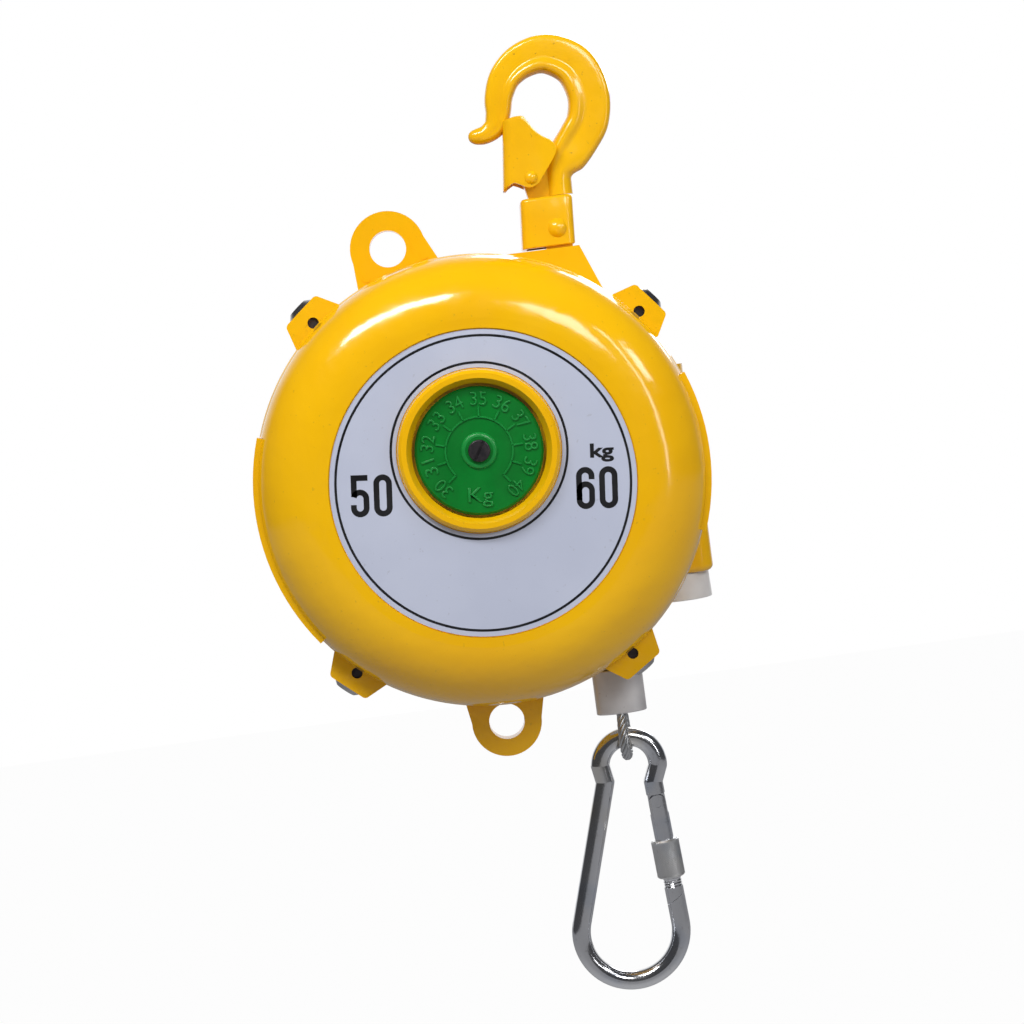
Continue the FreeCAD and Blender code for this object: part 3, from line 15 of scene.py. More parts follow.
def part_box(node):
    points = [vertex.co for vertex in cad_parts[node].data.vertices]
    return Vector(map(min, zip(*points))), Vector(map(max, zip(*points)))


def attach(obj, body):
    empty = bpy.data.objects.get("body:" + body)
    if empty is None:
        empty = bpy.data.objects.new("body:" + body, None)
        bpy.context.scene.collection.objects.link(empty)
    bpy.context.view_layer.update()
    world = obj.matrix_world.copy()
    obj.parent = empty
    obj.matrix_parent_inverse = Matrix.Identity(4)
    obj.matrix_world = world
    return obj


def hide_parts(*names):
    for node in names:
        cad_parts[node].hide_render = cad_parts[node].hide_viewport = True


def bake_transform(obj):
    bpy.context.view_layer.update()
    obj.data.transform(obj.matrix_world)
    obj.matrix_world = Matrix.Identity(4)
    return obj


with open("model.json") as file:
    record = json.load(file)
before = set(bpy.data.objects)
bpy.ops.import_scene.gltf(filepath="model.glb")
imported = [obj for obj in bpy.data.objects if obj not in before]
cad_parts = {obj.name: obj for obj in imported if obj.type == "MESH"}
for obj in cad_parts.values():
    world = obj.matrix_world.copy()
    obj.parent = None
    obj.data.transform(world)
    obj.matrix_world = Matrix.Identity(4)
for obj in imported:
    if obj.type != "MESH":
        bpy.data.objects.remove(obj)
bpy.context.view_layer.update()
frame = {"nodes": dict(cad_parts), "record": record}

MM = 0.001
TAU = 2 * math.pi

Colour = tuple[float, float, float]
Number = float | int
Outline = Sequence[tuple[float, float]]
Mesh = bpy.types.Mesh
Object = bpy.types.Object

log = logging.getLogger("balancer")


# ------------------------------------------------------------------ shader trees
class Wire:
    """One output socket of a shader tree; arithmetic on it adds the Math nodes that it needs."""

    def __init__(self, graph: "Graph", socket: bpy.types.NodeSocket) -> None:
        """Keeps the tree and the socket."""
        self.graph = graph
        self.socket = socket

    def output(self, name: str) -> "Wire":
        """Returns another output of the same node."""
        return Wire(self.graph, self.socket.node.outputs[name])

    def __add__(self, other: "Wire | Number") -> "Wire":
        """Returns self + other."""
        return self.graph.maths("ADD", self, other)

    def __mul__(self, other: "Wire | Number") -> "Wire":
        """Returns self * other."""
        return self.graph.maths("MULTIPLY", self, other)

    __radd__ = __add__
    __rmul__ = __mul__

    def clamped(self, low: Number, high: Number) -> "Wire":
        """Maps low..high of this value smoothly to 0..1.

        Args:
            low: The value that gives 0.
            high: The value that gives 1.

        Returns:
            The mapped value, held inside 0..1.
        """
        ports = {"Value": self, "From Min": low, "From Max": high}
        return self.graph.node("ShaderNodeMapRange", {"interpolation_type": "SMOOTHSTEP"}, ports)


class Graph:
    """Builds the node tree of a material, of the world or of a mesh pattern."""

    def __init__(self, tree: bpy.types.NodeTree) -> None:
        """Empties the tree."""
        self.tree = tree
        tree.nodes.clear()

    def node(self, kind: str, settings: dict | None = None, ports: dict | None = None, out: int | str = 0) -> Wire:
        """Adds any node.

        Args:
            kind: The node's type.
            settings: Its properties, set first.
            ports: Values or wires for its input sockets, by name or number.
            out: The output to return, by name or number.

        Returns:
            The chosen output.
        """
        made = self.tree.nodes.new(kind)
        for key, value in (settings or {}).items():
            setattr(made, key, value)
        for key, value in (ports or {}).items():
            if isinstance(value, Wire):
                self.tree.links.new(value.socket, made.inputs[key])
            else:
                made.inputs[key].default_value = value
        return Wire(self, made.outputs[out])

    def maths(self, operation: str, *values: Wire | Number) -> Wire:
        """Returns the result of one Math node."""
        return self.node("ShaderNodeMath", {"operation": operation}, dict(enumerate(values)))

    def close(self, kind: str, last: Wire) -> None:
        """Ends the tree in its output node, given the node's type."""
        end = self.tree.nodes.new(kind)
        self.tree.links.new(last.socket, end.inputs[0])

    def place(self) -> Wire:
        """Returns the Object coordinates."""
        return self.node("ShaderNodeTexCoord", out="Object")

    def stretched(self, where: Wire, scale: Sequence[float]) -> Wire:
        """Returns a pattern's coordinates scaled along each axis."""
        return self.node("ShaderNodeMapping", {}, {"Vector": where, "Scale": scale})

    def noise(self, where: Wire, scale: float, detail: float = 3.0, rough: float = 0.55) -> Wire:
        """Returns smooth noise of about 0.3..0.7 with the given number of features in a metre."""
        ports = {"Vector": where, "Scale": scale, "Detail": detail, "Roughness": rough}
        return self.node("ShaderNodeTexNoise", {}, ports)

    def mix(self, share: Wire | Number, first: Wire | Colour, second: Wire | Colour) -> Wire:
        """Mixes two colours.

        Args:
            share: 0 for the first, 1 for the second.
            first: A colour or a wire.
            second: A colour or a wire.

        Returns:
            The mixed colour.
        """
        ports = {0: share}
        for port, value in ((6, first), (7, second)):
            ports[port] = value if isinstance(value, Wire) else (*value, 1.0)
        return self.node("ShaderNodeMix", {"data_type": "RGBA"}, ports, out=2)

    def bump(self, height: Wire, depth: float, normal: Wire | None = None) -> Wire:
        """Turns a height into a normal.

        Args:
            height: The relief, about 0..1.
            depth: What 1 stands for, in metres.
            normal: A normal to start from.

        Returns:
            The bent normal.
        """
        ports = {"Height": height, "Distance": depth, "Strength": 1.0}
        if normal:
            ports["Normal"] = normal
        return self.node("ShaderNodeBump", {}, ports)


class Grain(Enum):
    """How the small relief of a finish runs."""

    PEEL = "soft orange peel of thick enamel over a casting"
    BRUSHED = "fine lines along Z"
    SATIN = "fine even pits"
    SMOOTH = "hardly any relief"


SPECK_SCALE, SPECK_EDGE = 420.0, (0.69, 0.76)
SMEAR_SCALE, SMEAR_STRETCH, SMEAR_EDGE = 60.0, (1.0, 1.0, 0.35), (0.3, 0.75)
PEEL_SCALE, PEEL_DEPTH = 55.0, 0.0006
BRUSH_STRETCH = (1.0, 1.0, 0.04)
COOL_SCALE, COOL_EDGE, COOL_SHARE = 38.0, (0.5, 0.72), 0.55
WARM_SCALE, WARM_STRETCH, WARM_EDGE, WARM_SHARE = 31.0, (1.0, 1.3, 0.8), (0.56, 0.72), 0.4
SPOT_SCALE, SPOT_EDGE, SPOT_SHARE = 520.0, (0.63, 0.72), 0.45


@dataclass(frozen=True)
class Finish:
    """One surface finish, given by a few measures."""

    name: str
    colour: Colour
    cloud: Colour
    grain: Grain = Grain.SMOOTH
    metallic: float = 0.0
    roughness: float = 0.4
    spread: float = 0.12
    cloud_scale: float = 14.0
    grain_scale: float = 900.0
    grain_depth: float = 0.00002
    coat: float = 0.0
    speck: Colour = (0.2, 0.17, 0.12)
    speck_share: float = 0.0
    extras: tuple[tuple[str, object], ...] = ()

    def tint(self, graph: Graph, where: Wire) -> Wire:
        """Returns the colour: clouds between two near tones, and a few specks of dirt."""
        clouds = graph.noise(where, self.cloud_scale).clamped(0.35, 0.7)
        colour = graph.mix(clouds, self.colour, self.cloud)
        if self.speck_share:
            specks = graph.noise(where, SPECK_SCALE, 2.0).clamped(*SPECK_EDGE) * self.speck_share
            colour = graph.mix(specks, colour, self.speck)
        return colour

    def gloss(self, graph: Graph, where: Wire) -> Wire:
        """Returns the roughness, with faint smears."""
        smears = graph.noise(graph.stretched(where, SMEAR_STRETCH), SMEAR_SCALE, 4.0).clamped(*SMEAR_EDGE)
        return smears * (2 * self.spread) + (self.roughness - self.spread)

    def relief(self, graph: Graph, where: Wire) -> Wire:
        """Returns the bent normal of the grain."""
        if self.grain is Grain.PEEL:
            broad = graph.bump(graph.noise(where, PEEL_SCALE, 2.0), PEEL_DEPTH)
            return graph.bump(graph.noise(where, self.grain_scale, 2.0), self.grain_depth, broad)
        if self.grain is Grain.BRUSHED:
            where = graph.stretched(where, BRUSH_STRETCH)
        return graph.bump(graph.noise(where, self.grain_scale, 3.0, 0.65), self.grain_depth)

    def material(self) -> bpy.types.Material:
        """Returns the finish as a material, made on the first call and kept."""
        kept = bpy.data.materials.get(self.name)
        if kept:
            return kept
        made = bpy.data.materials.new(self.name)
        made.use_nodes = True
        graph = Graph(made.node_tree)
        where = graph.place()
        ports = {"Base Color": self.tint(graph, where), "Roughness": self.gloss(graph, where),
                 "Normal": self.relief(graph, where), "Metallic": self.metallic, "Coat Weight": self.coat,
                 **dict(self.extras)}
        surface = graph.node("ShaderNodeBsdfPrincipled", {}, ports)
        graph.close("ShaderNodeOutputMaterial", surface)
        return made


@dataclass(frozen=True)
class Plating(Finish):
    """Bright plating on steel: passivation tints, smears and small dull spots."""

    warm: Colour = (0.78, 0.71, 0.55)
    cool: Colour = (0.55, 0.62, 0.74)

    def tint(self, graph: Graph, where: Wire) -> Wire:
        """Returns the plain plating colour with cool and warm tints in patches."""
        cool = graph.noise(where, COOL_SCALE, 2.0).clamped(*COOL_EDGE) * COOL_SHARE
        warm = graph.noise(graph.stretched(where, WARM_STRETCH), WARM_SCALE, 2.0).clamped(*WARM_EDGE) * WARM_SHARE
        colour = graph.mix(warm, graph.mix(cool, self.colour, self.cool), self.warm)
        spots = graph.noise(where, SPOT_SCALE, 3.0).clamped(*SPOT_EDGE) * SPOT_SHARE
        return graph.mix(spots, colour, self.cloud)


ENAMEL_LIGHT = (0.97, 0.53, 0.001)
ENAMEL_DEEP = (0.91, 0.47, 0.0008)

ENAMEL = Finish("yellow_enamel", ENAMEL_LIGHT, ENAMEL_DEEP, Grain.PEEL, roughness=0.16, spread=0.04, cloud_scale=9.0,
                grain_scale=420.0, grain_depth=0.000015, coat=0.45, speck=(0.35, 0.2, 0.02), speck_share=0.25,
                extras=(("Coat Roughness", 0.05), ("IOR", 1.5)))
FORGED_ENAMEL = replace(ENAMEL, name="yellow_enamel_forged", roughness=0.2, spread=0.05, cloud_scale=22.0,
                        grain_scale=260.0, grain_depth=0.00004, coat=0.5, speck=(0.3, 0.16, 0.02), speck_share=0.5,
                        extras=(("Coat Roughness", 0.08), ("IOR", 1.5)))
PLATE_FILM = Finish("plate_film", (0.52, 0.555, 0.685), (0.56, 0.595, 0.725), Grain.SATIN, roughness=0.34, spread=0.05,
                    cloud_scale=16.0, grain_scale=1500.0, grain_depth=0.000006, speck=(0.35, 0.35, 0.4),
                    speck_share=0.3)
PRINT_INK = Finish("print_ink", (0.006, 0.006, 0.008), (0.012, 0.012, 0.014), Grain.SATIN, roughness=0.38,
                   grain_depth=0.000004)
GREEN_MOULDED = Finish("green_moulded", (0.0, 0.20, 0.022), (0.0, 0.165, 0.018), Grain.SATIN, roughness=0.36,
                       spread=0.06, cloud_scale=60.0, grain_scale=1400.0, grain_depth=0.00001,
                       speck=(0.02, 0.1, 0.02), speck_share=0.4, extras=(("IOR", 1.36),))
# Lighter copy of the dial's green for its raised characters, ticks, arc and collar: a painted highlight for the light
# that their tops catch.
GREEN_PAINTED_HIGHLIGHT = Finish("green_painted_highlight", (0.008, 0.27, 0.045), (0.002, 0.22, 0.03), Grain.SATIN, roughness=0.32,
                      spread=0.06, cloud_scale=60.0, grain_scale=1400.0, grain_depth=0.00001)
BRIGHT_ZINC = Plating("bright_zinc", (0.80, 0.81, 0.84), (0.42, 0.41, 0.41), Grain.SATIN, metallic=1.0, roughness=0.16,
                      spread=0.05, grain_scale=300.0, grain_depth=0.00002)
DULL_ZINC = Plating("dull_zinc", (0.78, 0.78, 0.78), (0.45, 0.45, 0.44), Grain.SATIN, metallic=1.0, roughness=0.42,
                    spread=0.08, grain_scale=1100.0, grain_depth=0.00003)
SCREW_CHROME = Plating("screw_chrome", (0.46, 0.45, 0.45), (0.14, 0.13, 0.12), Grain.SATIN, metallic=1.0,
                       roughness=0.24, spread=0.08, grain_scale=500.0)
BLACK_OXIDE = Finish("black_oxide", (0.035, 0.032, 0.038), (0.07, 0.06, 0.065), Grain.SATIN, metallic=0.6,
                     roughness=0.4, cloud_scale=180.0, grain_scale=900.0)
SATIN_ALUMINIUM = Finish("satin_aluminium", (0.82, 0.80, 0.80), (0.68, 0.66, 0.67), Grain.BRUSHED, metallic=0.55,
                         roughness=0.46, spread=0.07, cloud_scale=45.0, grain_scale=900.0, grain_depth=0.00002,
                         speck=(0.3, 0.28, 0.27), speck_share=0.5)
ROPE_STEEL = Plating("rope_steel", (0.50, 0.49, 0.47), (0.12, 0.11, 0.10), Grain.SATIN, metallic=1.0, roughness=0.33,
                     spread=0.07, grain_scale=1600.0, grain_depth=0.00004)
SPRING_STEEL = Finish("spring_steel", (0.30, 0.31, 0.34), (0.2, 0.2, 0.24), Grain.BRUSHED, metallic=1.0,
                      roughness=0.3, cloud_scale=40.0)
BRONZE = Finish("bronze", (0.60, 0.38, 0.17), (0.45, 0.27, 0.11), Grain.BRUSHED, metallic=1.0, roughness=0.33)
BLACK_RUBBER = Finish("black_rubber", (0.018, 0.018, 0.019), (0.035, 0.034, 0.033), Grain.SATIN, roughness=0.72,
                      spread=0.06, grain_depth=0.00005)
MILKY_CAP = Finish("milky_cap", (0.93, 0.90, 0.88), (0.86, 0.82, 0.80), Grain.SMOOTH, roughness=0.34, spread=0.05,
                   cloud_scale=70.0, speck=(0.5, 0.45, 0.4), speck_share=0.2,
                   extras=(("Subsurface Weight", 0.35), ("Subsurface Radius", (0.004, 0.004, 0.004)),
                           ("Subsurface Scale", 1.0), ("Transmission Weight", 0.15), ("IOR", 1.46)))
CAST_METAL = Finish("cast_metal", (0.50, 0.50, 0.50), (0.40, 0.40, 0.39), Grain.SATIN, metallic=1.0, roughness=0.45)

NODE_FINISHES: dict[Finish, tuple[str, ...]] = {
    ENAMEL: ("front_cover", "rear_case"),
    FORGED_ENAMEL: ("hook", "latch", "yoke"),
    PLATE_FILM: ("label_plate",),
    GREEN_MOULDED: ("dial",),
    BRIGHT_ZINC: ("carabiner_body", "gate", "gate_pin"),
    DULL_ZINC: ("swivel_nut", "swivel_washer", "thimble"),
    SCREW_CHROME: ("cover_screws", "main_shaft", "worm"),
    BLACK_OXIDE: ("lock_screws", "dial_screw"),
    SATIN_ALUMINIUM: ("ferrule",),
    ROPE_STEEL: ("wound_rope",),
    SPRING_STEEL: ("latch_spring", "mainspring", "spring_cover"),
    BRONZE: ("front_bush", "rear_bush", "drum_bush", "worm_wheel"),
    BLACK_RUBBER: ("rope_bumper",),
    MILKY_CAP: ("worm_cap", "rope_guide"),
    CAST_METAL: ("rope_drum",),
}
PAINTED_PINS = ("latch_pin", "pivot_pin")


# ------------------------------------------------------------------ meshes
def linked(made: Object) -> Object:
    """Links an object to the scene and returns it."""
    bpy.context.scene.collection.objects.link(made)
    return made


def baked(carrier: Object) -> Mesh:
    """Returns a linked object's mesh with its modifiers applied, and removes the object."""
    bpy.context.view_layer.update()
    shaped = carrier.evaluated_get(bpy.context.evaluated_depsgraph_get())
    mesh = bpy.data.meshes.new_from_object(shaped)
    carrier.modifiers.clear()
    bpy.data.objects.remove(carrier)
    return mesh


def welded(mesh: Mesh, gap: float, outwards: bool = False) -> Mesh:
    """Tidies a mesh in place.

    Args:
        mesh: The mesh.
        gap: Points closer than this are merged.
        outwards: Whether its faces are then pointed outwards.

    Returns:
        The same mesh.
    """
    shape = bmesh.new()
    shape.from_mesh(mesh)
    bmesh.ops.remove_doubles(shape, verts=shape.verts, dist=gap)
    if outwards:
        bmesh.ops.recalc_face_normals(shape, faces=shape.faces)
    shape.to_mesh(mesh)
    shape.free()
    return mesh


def merged(meshes: Iterable[Mesh]) -> Mesh:
    """Returns several meshes, already in place, as one."""
    whole = bmesh.new()
    for mesh in meshes:
        whole.from_mesh(mesh)
    out = bpy.data.meshes.new("merged")
    whole.to_mesh(out)
    whole.free()
    return out


def placed_object(name: str, mesh: Mesh, finish: Finish, smooth_below: float = 35.0) -> Object:
    """Links a mesh as a finished object at the origin.

    Args:
        name: The piece's name.
        mesh: The mesh, with its place in it.
        finish: The finish it gets.
        smooth_below: Edges flatter than this many degrees are shaded smooth.

    Returns:
        The object.
    """
    mesh.name = name
    mesh.materials.clear()
    mesh.materials.append(finish.material())
    mesh.shade_smooth()
    mesh.set_sharp_from_angle(angle=math.radians(smooth_below))
    made = linked(bpy.data.objects.new(name, mesh))
    log.info("piece %s: %d faces", name, len(mesh.polygons))
    return made


def mesh_of(verts: Sequence[Sequence[float]], faces: Sequence[Sequence[int]]) -> Mesh:
    """Makes a mesh from points and faces, merged and with its faces pointing outwards.

    Args:
        verts: The points.
        faces: Point numbers of each face.

    Returns:
        The mesh.
    """
    mesh = bpy.data.meshes.new("made")
    mesh.from_pydata([tuple(v) for v in verts], [], [tuple(f) for f in faces])
    return welded(mesh, 1e-7, outwards=True)


def skinned(rings: Sequence[Sequence[Sequence[float]]], closed: bool = False) -> Mesh:
    """Skins a row of closed rings that have equally many points.

    Args:
        rings: The rings, in order.
        closed: Whether the last ring joins the first; otherwise both ends get a face.

    Returns:
        The mesh.
    """
    count = len(rings[0])
    verts = [point for ring in rings for point in ring]
    pairs = [(i, (i + 1) % len(rings)) for i in range(len(rings) if closed else len(rings) - 1)]
    faces = [(a * count + j, a * count + (j + 1) % count, b * count + (j + 1) % count, b * count + j)
             for a, b in pairs for j in range(count)]
    if not closed:
        faces += [tuple(range(count)), tuple(range((len(rings) - 1) * count, len(rings) * count))]
    return mesh_of(verts, faces)


def turned_mesh(outline: Outline, steps: int = 96, start: float = 0.0,
                sweep: float = TAU) -> Mesh:
    """Turns a closed outline of (radius, height) about +Z.

    Args:
        outline: The outline's corners, in order.
        steps: Pieces round the sweep.
        start: Where the sweep starts, in radians.
        sweep: How far it goes; less than a full turn gets end faces.

    Returns:
        The closed mesh.
    """
    whole = abs(sweep - TAU) < 1e-9
    turns = [start + sweep * i / steps for i in range(steps if whole else steps + 1)]
    return skinned([[(r * math.cos(t), r * math.sin(t), h) for r, h in outline] for t in turns], closed=whole)


def facing_front(angle: float = 0.0) -> Matrix:
    """Turn that lays a flat XY shape on a plane facing -Y, then spins it in that plane.

    Args:
        angle: Anticlockwise spin as seen from the front, in radians.

    Returns:
        The rotation.
    """
    return Matrix.Rotation(-angle, 4, "Y") @ Matrix.Rotation(math.pi / 2, 4, "X")


def lettering(text: str, width: float, height: float, depth: float, weight: float = 0.02,
              rounding: float = 0.0) -> Mesh:
    """Makes a line of raised characters of an exact size, centred on the origin.

    Args:
        text: The characters.
        width: Width of the line.
        height: Height of the line.
        depth: Thickness, from z = 0 up.
        weight: How much bolder than the plain face, as a share of its size.
        rounding: Width of the rounded edges, as a share of its size.

    Returns:
        The mesh.
    """
    curve = bpy.data.curves.new("line", "FONT")
    curve.body = text
    curve.size = 1.0
    curve.offset = weight - rounding
    curve.extrude = 0.04
    curve.bevel_depth = rounding
    curve.bevel_resolution = 1
    curve.resolution_u = 6
    mesh = baked(linked(bpy.data.objects.new("line", curve)))
    low = Vector([min(v.co[k] for v in mesh.vertices) for k in range(3)])
    high = Vector([max(v.co[k] for v in mesh.vertices) for k in range(3)])
    size = high - low
    scale = Matrix.Diagonal((width / size.x, height / size.y, depth / size.z, 1.0))
    centre = Vector(((low.x + high.x) / 2, (low.y + high.y) / 2, low.z))
    mesh.transform(scale @ Matrix.Translation(-centre))
    return welded(mesh, 1e-6)


def joined(name: str, meshes: Sequence[Mesh], finish: Finish, smooth_below: float = 35.0) -> Object:
    """Puts several meshes in one object.

    Args:
        name: The piece's name.
        meshes: The meshes, already in place.
        finish: The finish of all of them.
        smooth_below: Edges flatter than this many degrees are shaded smooth.

    Returns:
        The object.
    """
    return placed_object(name, merged(meshes), finish, smooth_below)


# ------------------------------------------------------------------ geometry nodes
class Pattern(Graph):
    """A Geometry Nodes tree with named inputs, run on an object and turned into a plain mesh."""

    def __init__(self, name: str, sizes: dict[str, str]) -> None:
        """Starts a tree.

        Args:
            name: The tree's name.
            sizes: Its inputs: name and kind of value.
        """
        super().__init__(bpy.data.node_groups.new(name, "GeometryNodeTree"))
        face = self.tree.interface
        inputs = {"Geometry": "Geometry", **sizes, "Finish": "Material"}
        self.keys = {key: face.new_socket(key, in_out="INPUT", socket_type="NodeSocket" + kind).identifier
                     for key, kind in inputs.items()}
        face.new_socket("Geometry", in_out="OUTPUT", socket_type="NodeSocketGeometry")
        self.entry = self.tree.nodes.new("NodeGroupInput")

    def __getitem__(self, name: str) -> Wire:
        """Returns one of the tree's inputs."""
        return Wire(self, self.entry.outputs[name])

    def vector(self, operation: str, *values: Wire, **named: Wire) -> Wire:
        """Returns the result of one Vector Math node, such as SCALE with its Scale input."""
        return self.node("ShaderNodeVectorMath", {"operation": operation}, {**dict(enumerate(values)), **named})

    def finish(self, geometry: Wire) -> None:
        """Ends the tree: real geometry, with the finish."""
        real = self.node("GeometryNodeRealizeInstances", {}, {0: geometry})
        self.close("NodeGroupOutput", self.node("GeometryNodeSetMaterial", {},
                                                {"Geometry": real, "Material": self["Finish"]}))

    def run(self, carrier: Object, finish: Finish, **sizes: Number) -> Mesh:
        """Runs the tree on an object and removes that object.

        Args:
            carrier: The object whose geometry goes in.
            finish: The finish for the result.
            sizes: Values of the tree's inputs, with _ for a space in a name.

        Returns:
            The plain mesh.
        """
        modifier = linked(carrier).modifiers.new("pattern", "NODES")
        modifier.node_group = self.tree
        for key, value in {**sizes, "Finish": finish.material()}.items():
            modifier[self.keys[key.replace("_", " ")]] = value
        return baked(carrier)


def route_object(points: Sequence[Vector]) -> Object:
    """Makes a smooth open curve through control points, as the carrier of a pattern."""
    curve = bpy.data.curves.new("route", "CURVE")
    curve.dimensions = "3D"
    spline = curve.splines.new("NURBS")
    spline.points.add(len(points) - 1)
    for slot, point in zip(spline.points, points):
        slot.co = (*point, 1.0)
    spline.order_u = 4
    spline.use_endpoint_u = True
    spline.resolution_u = 12
    return bpy.data.objects.new("route", curve)


def strands_pattern() -> Pattern:
    """Tree that lays equal strands in a helix round the curve it is given."""
    tree = Pattern("laid_strands", {"Strands": "Int", "Lay": "Float", "Orbit": "Float", "Strand Radius": "Float",
                                    "Step": "Float", "Sides": "Int"})
    even = tree.node("GeometryNodeResampleCurve", {"mode": "LENGTH"},
                     {"Curve": tree["Geometry"], "Length": tree["Step"]})
    copies = tree.node("GeometryNodeDuplicateElements", {"domain": "SPLINE"},
                       {"Geometry": even, "Amount": tree["Strands"]})
    turn = tree.maths("DIVIDE", tree.node("GeometryNodeSplineParameter", out="Length"), tree["Lay"])
    angle = (turn + tree.maths("DIVIDE", copies.output("Duplicate Index"), tree["Strands"])) * TAU
    normal = tree.node("GeometryNodeInputNormal")
    side = tree.vector("CROSS_PRODUCT", tree.node("GeometryNodeInputTangent"), normal)
    across = tree.vector("SCALE", normal, Scale=tree.maths("COSINE", angle))
    up = tree.vector("SCALE", side, Scale=tree.maths("SINE", angle))
    offset = tree.vector("SCALE", tree.vector("ADD", across, up), Scale=tree["Orbit"])
    moved = tree.node("GeometryNodeSetPosition", {}, {"Geometry": copies, "Offset": offset})
    ring = tree.node("GeometryNodeCurvePrimitiveCircle", {},
                     {"Resolution": tree["Sides"], "Radius": tree["Strand Radius"]})
    tubes = tree.node("GeometryNodeCurveToMesh", {}, {"Curve": moved, "Profile Curve": ring, "Fill Caps": True})
    tree.finish(tree.node("GeometryNodeSetShadeSmooth", {}, {"Geometry": tubes}))
    return tree


def fan_pattern() -> Pattern:
    """Tree that repeats a mesh round +Z, from a first angle in equal steps."""
    tree = Pattern("fan", {"Count": "Int", "First": "Float", "Turn": "Float", "Radius": "Float"})
    line = tree.node("GeometryNodeMeshLine", {"mode": "OFFSET"}, {"Count": tree["Count"], "Offset": (0.0, 0.0, 0.0)})
    angle = tree["First"] + tree.node("GeometryNodeInputIndex") * tree["Turn"]
    where = tree.node("ShaderNodeCombineXYZ", {}, {"X": tree.maths("COSINE", angle) * tree["Radius"],
                                                   "Y": tree.maths("SINE", angle) * tree["Radius"]})
    spread = tree.node("GeometryNodeSetPosition", {}, {"Geometry": line, "Position": where})
    spin = tree.node("ShaderNodeCombineXYZ", {}, {"Z": angle})
    tree.finish(tree.node("GeometryNodeInstanceOnPoints", {},
                          {"Points": spread, "Instance": tree["Geometry"], "Rotation": spin}))
    return tree


# ------------------------------------------------------------------ sub-assemblies
def cad_box(node: str) -> tuple[Vector, Vector, Vector]:
    """Returns a CAD node's lowest corner, highest corner and centre."""
    low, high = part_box(node)
    low, high = Vector(low), Vector(high)
    return low, high, (low + high) / 2


def arc_points(centre: tuple[float, float], radius: float, first: float, last: float,
               steps: int = 14) -> list[tuple[float, float]]:
    """Returns points on an arc from one angle to another, in degrees."""
    turn = [math.radians(first + (last - first) * i / steps) for i in range(steps + 1)]
    return [(centre[0] + radius * math.cos(t), centre[1] + radius * math.sin(t)) for t in turn]


def ribbon(path: Outline, width: float, depth: float, closed: bool = False) -> Mesh:
    """Makes a flat stroke of even width along a path.

    Args:
        path: Points of its middle line.
        width: Width of the stroke.
        depth: Thickness, from z = 0 up.
        closed: Whether the path joins its own start.

    Returns:
        The mesh.
    """
    line = [Vector(p) for p in path]
    count = len(line)
    left, right = [], []
    for i, point in enumerate(line):
        before = line[i - 1] if closed or i else point
        after = line[(i + 1) % count] if closed or i < count - 1 else point
        one, two = (point - before), (after - point)
        one = one.normalized() if one.length else two.normalized()
        two = two.normalized() if two.length else one
        middle = (one + two).normalized()
        across = Vector((-middle.y, middle.x)) * (width / 2 / max(0.5, middle.dot(one)))
        left.append(point + across)
        right.append(point - across)
    return skinned([[(*p, 0.0), (*q, 0.0), (*q, depth), (*p, depth)] for p, q in zip(left, right)], closed)


@dataclass
class Numeral:
    """Tall narrow figures drawn as strokes of even width, with round bowls."""

    half_width: float = 3.2 * MM
    half_height: float = 9.15 * MM
    stroke: float = 2.9 * MM
    waist: float = 1.9 * MM
    hook_end: float = 1.6 * MM
    flag_reach: float = 0.9 * MM
    stem_inset: float = 0.3 * MM
    stem_drop: float = 2.2 * MM

    def strokes(self, figure: str) -> list[tuple[list[tuple[float, float]], bool]]:
        """Returns the middle lines of one figure and whether each is closed."""
        a, b, w = self.half_width, self.half_height, self.waist
        foot, head = (0.0, a - b), (0.0, b - a)
        if figure == "0":
            return [(arc_points(head, a, 0, 180) + arc_points(foot, a, 180, 360), True)]
        if figure == "6":
            bowl = arc_points((0.0, w - a), a, 0, 180) + arc_points(foot, a, 180, 360)
            stem = [(-a, foot[1])] + arc_points(head, a, 180, 0) + [(a, head[1] - self.hook_end)]
            return [(bowl, True), (stem, False)]
        stem_x = self.stem_inset - a
        bar = [(a + self.flag_reach, b), (stem_x, b), (stem_x, w - self.stem_drop)]
        bowl = arc_points((0.0, w - a), a, 165, 0) + arc_points(foot, a, 0, -180) + [(-a, foot[1] + self.hook_end)]
        return [(bar, False), (bowl, False)]

    def mesh(self, text: str, advance: float, depth: float) -> Mesh:
        """Returns a line of figures, centred on the origin.

        Args:
            text: The figures.
            advance: Distance from one figure's middle to the next.
            depth: Thickness, from z = 0 up.

        Returns:
            The mesh.
        """
        shifts = [(i - (len(text) - 1) / 2) * advance for i in range(len(text))]
        return merged(ribbon([(x + shift, y) for x, y in path], self.stroke, depth, closed)
                      for shift, figure in zip(shifts, text) for path, closed in self.strokes(figure))


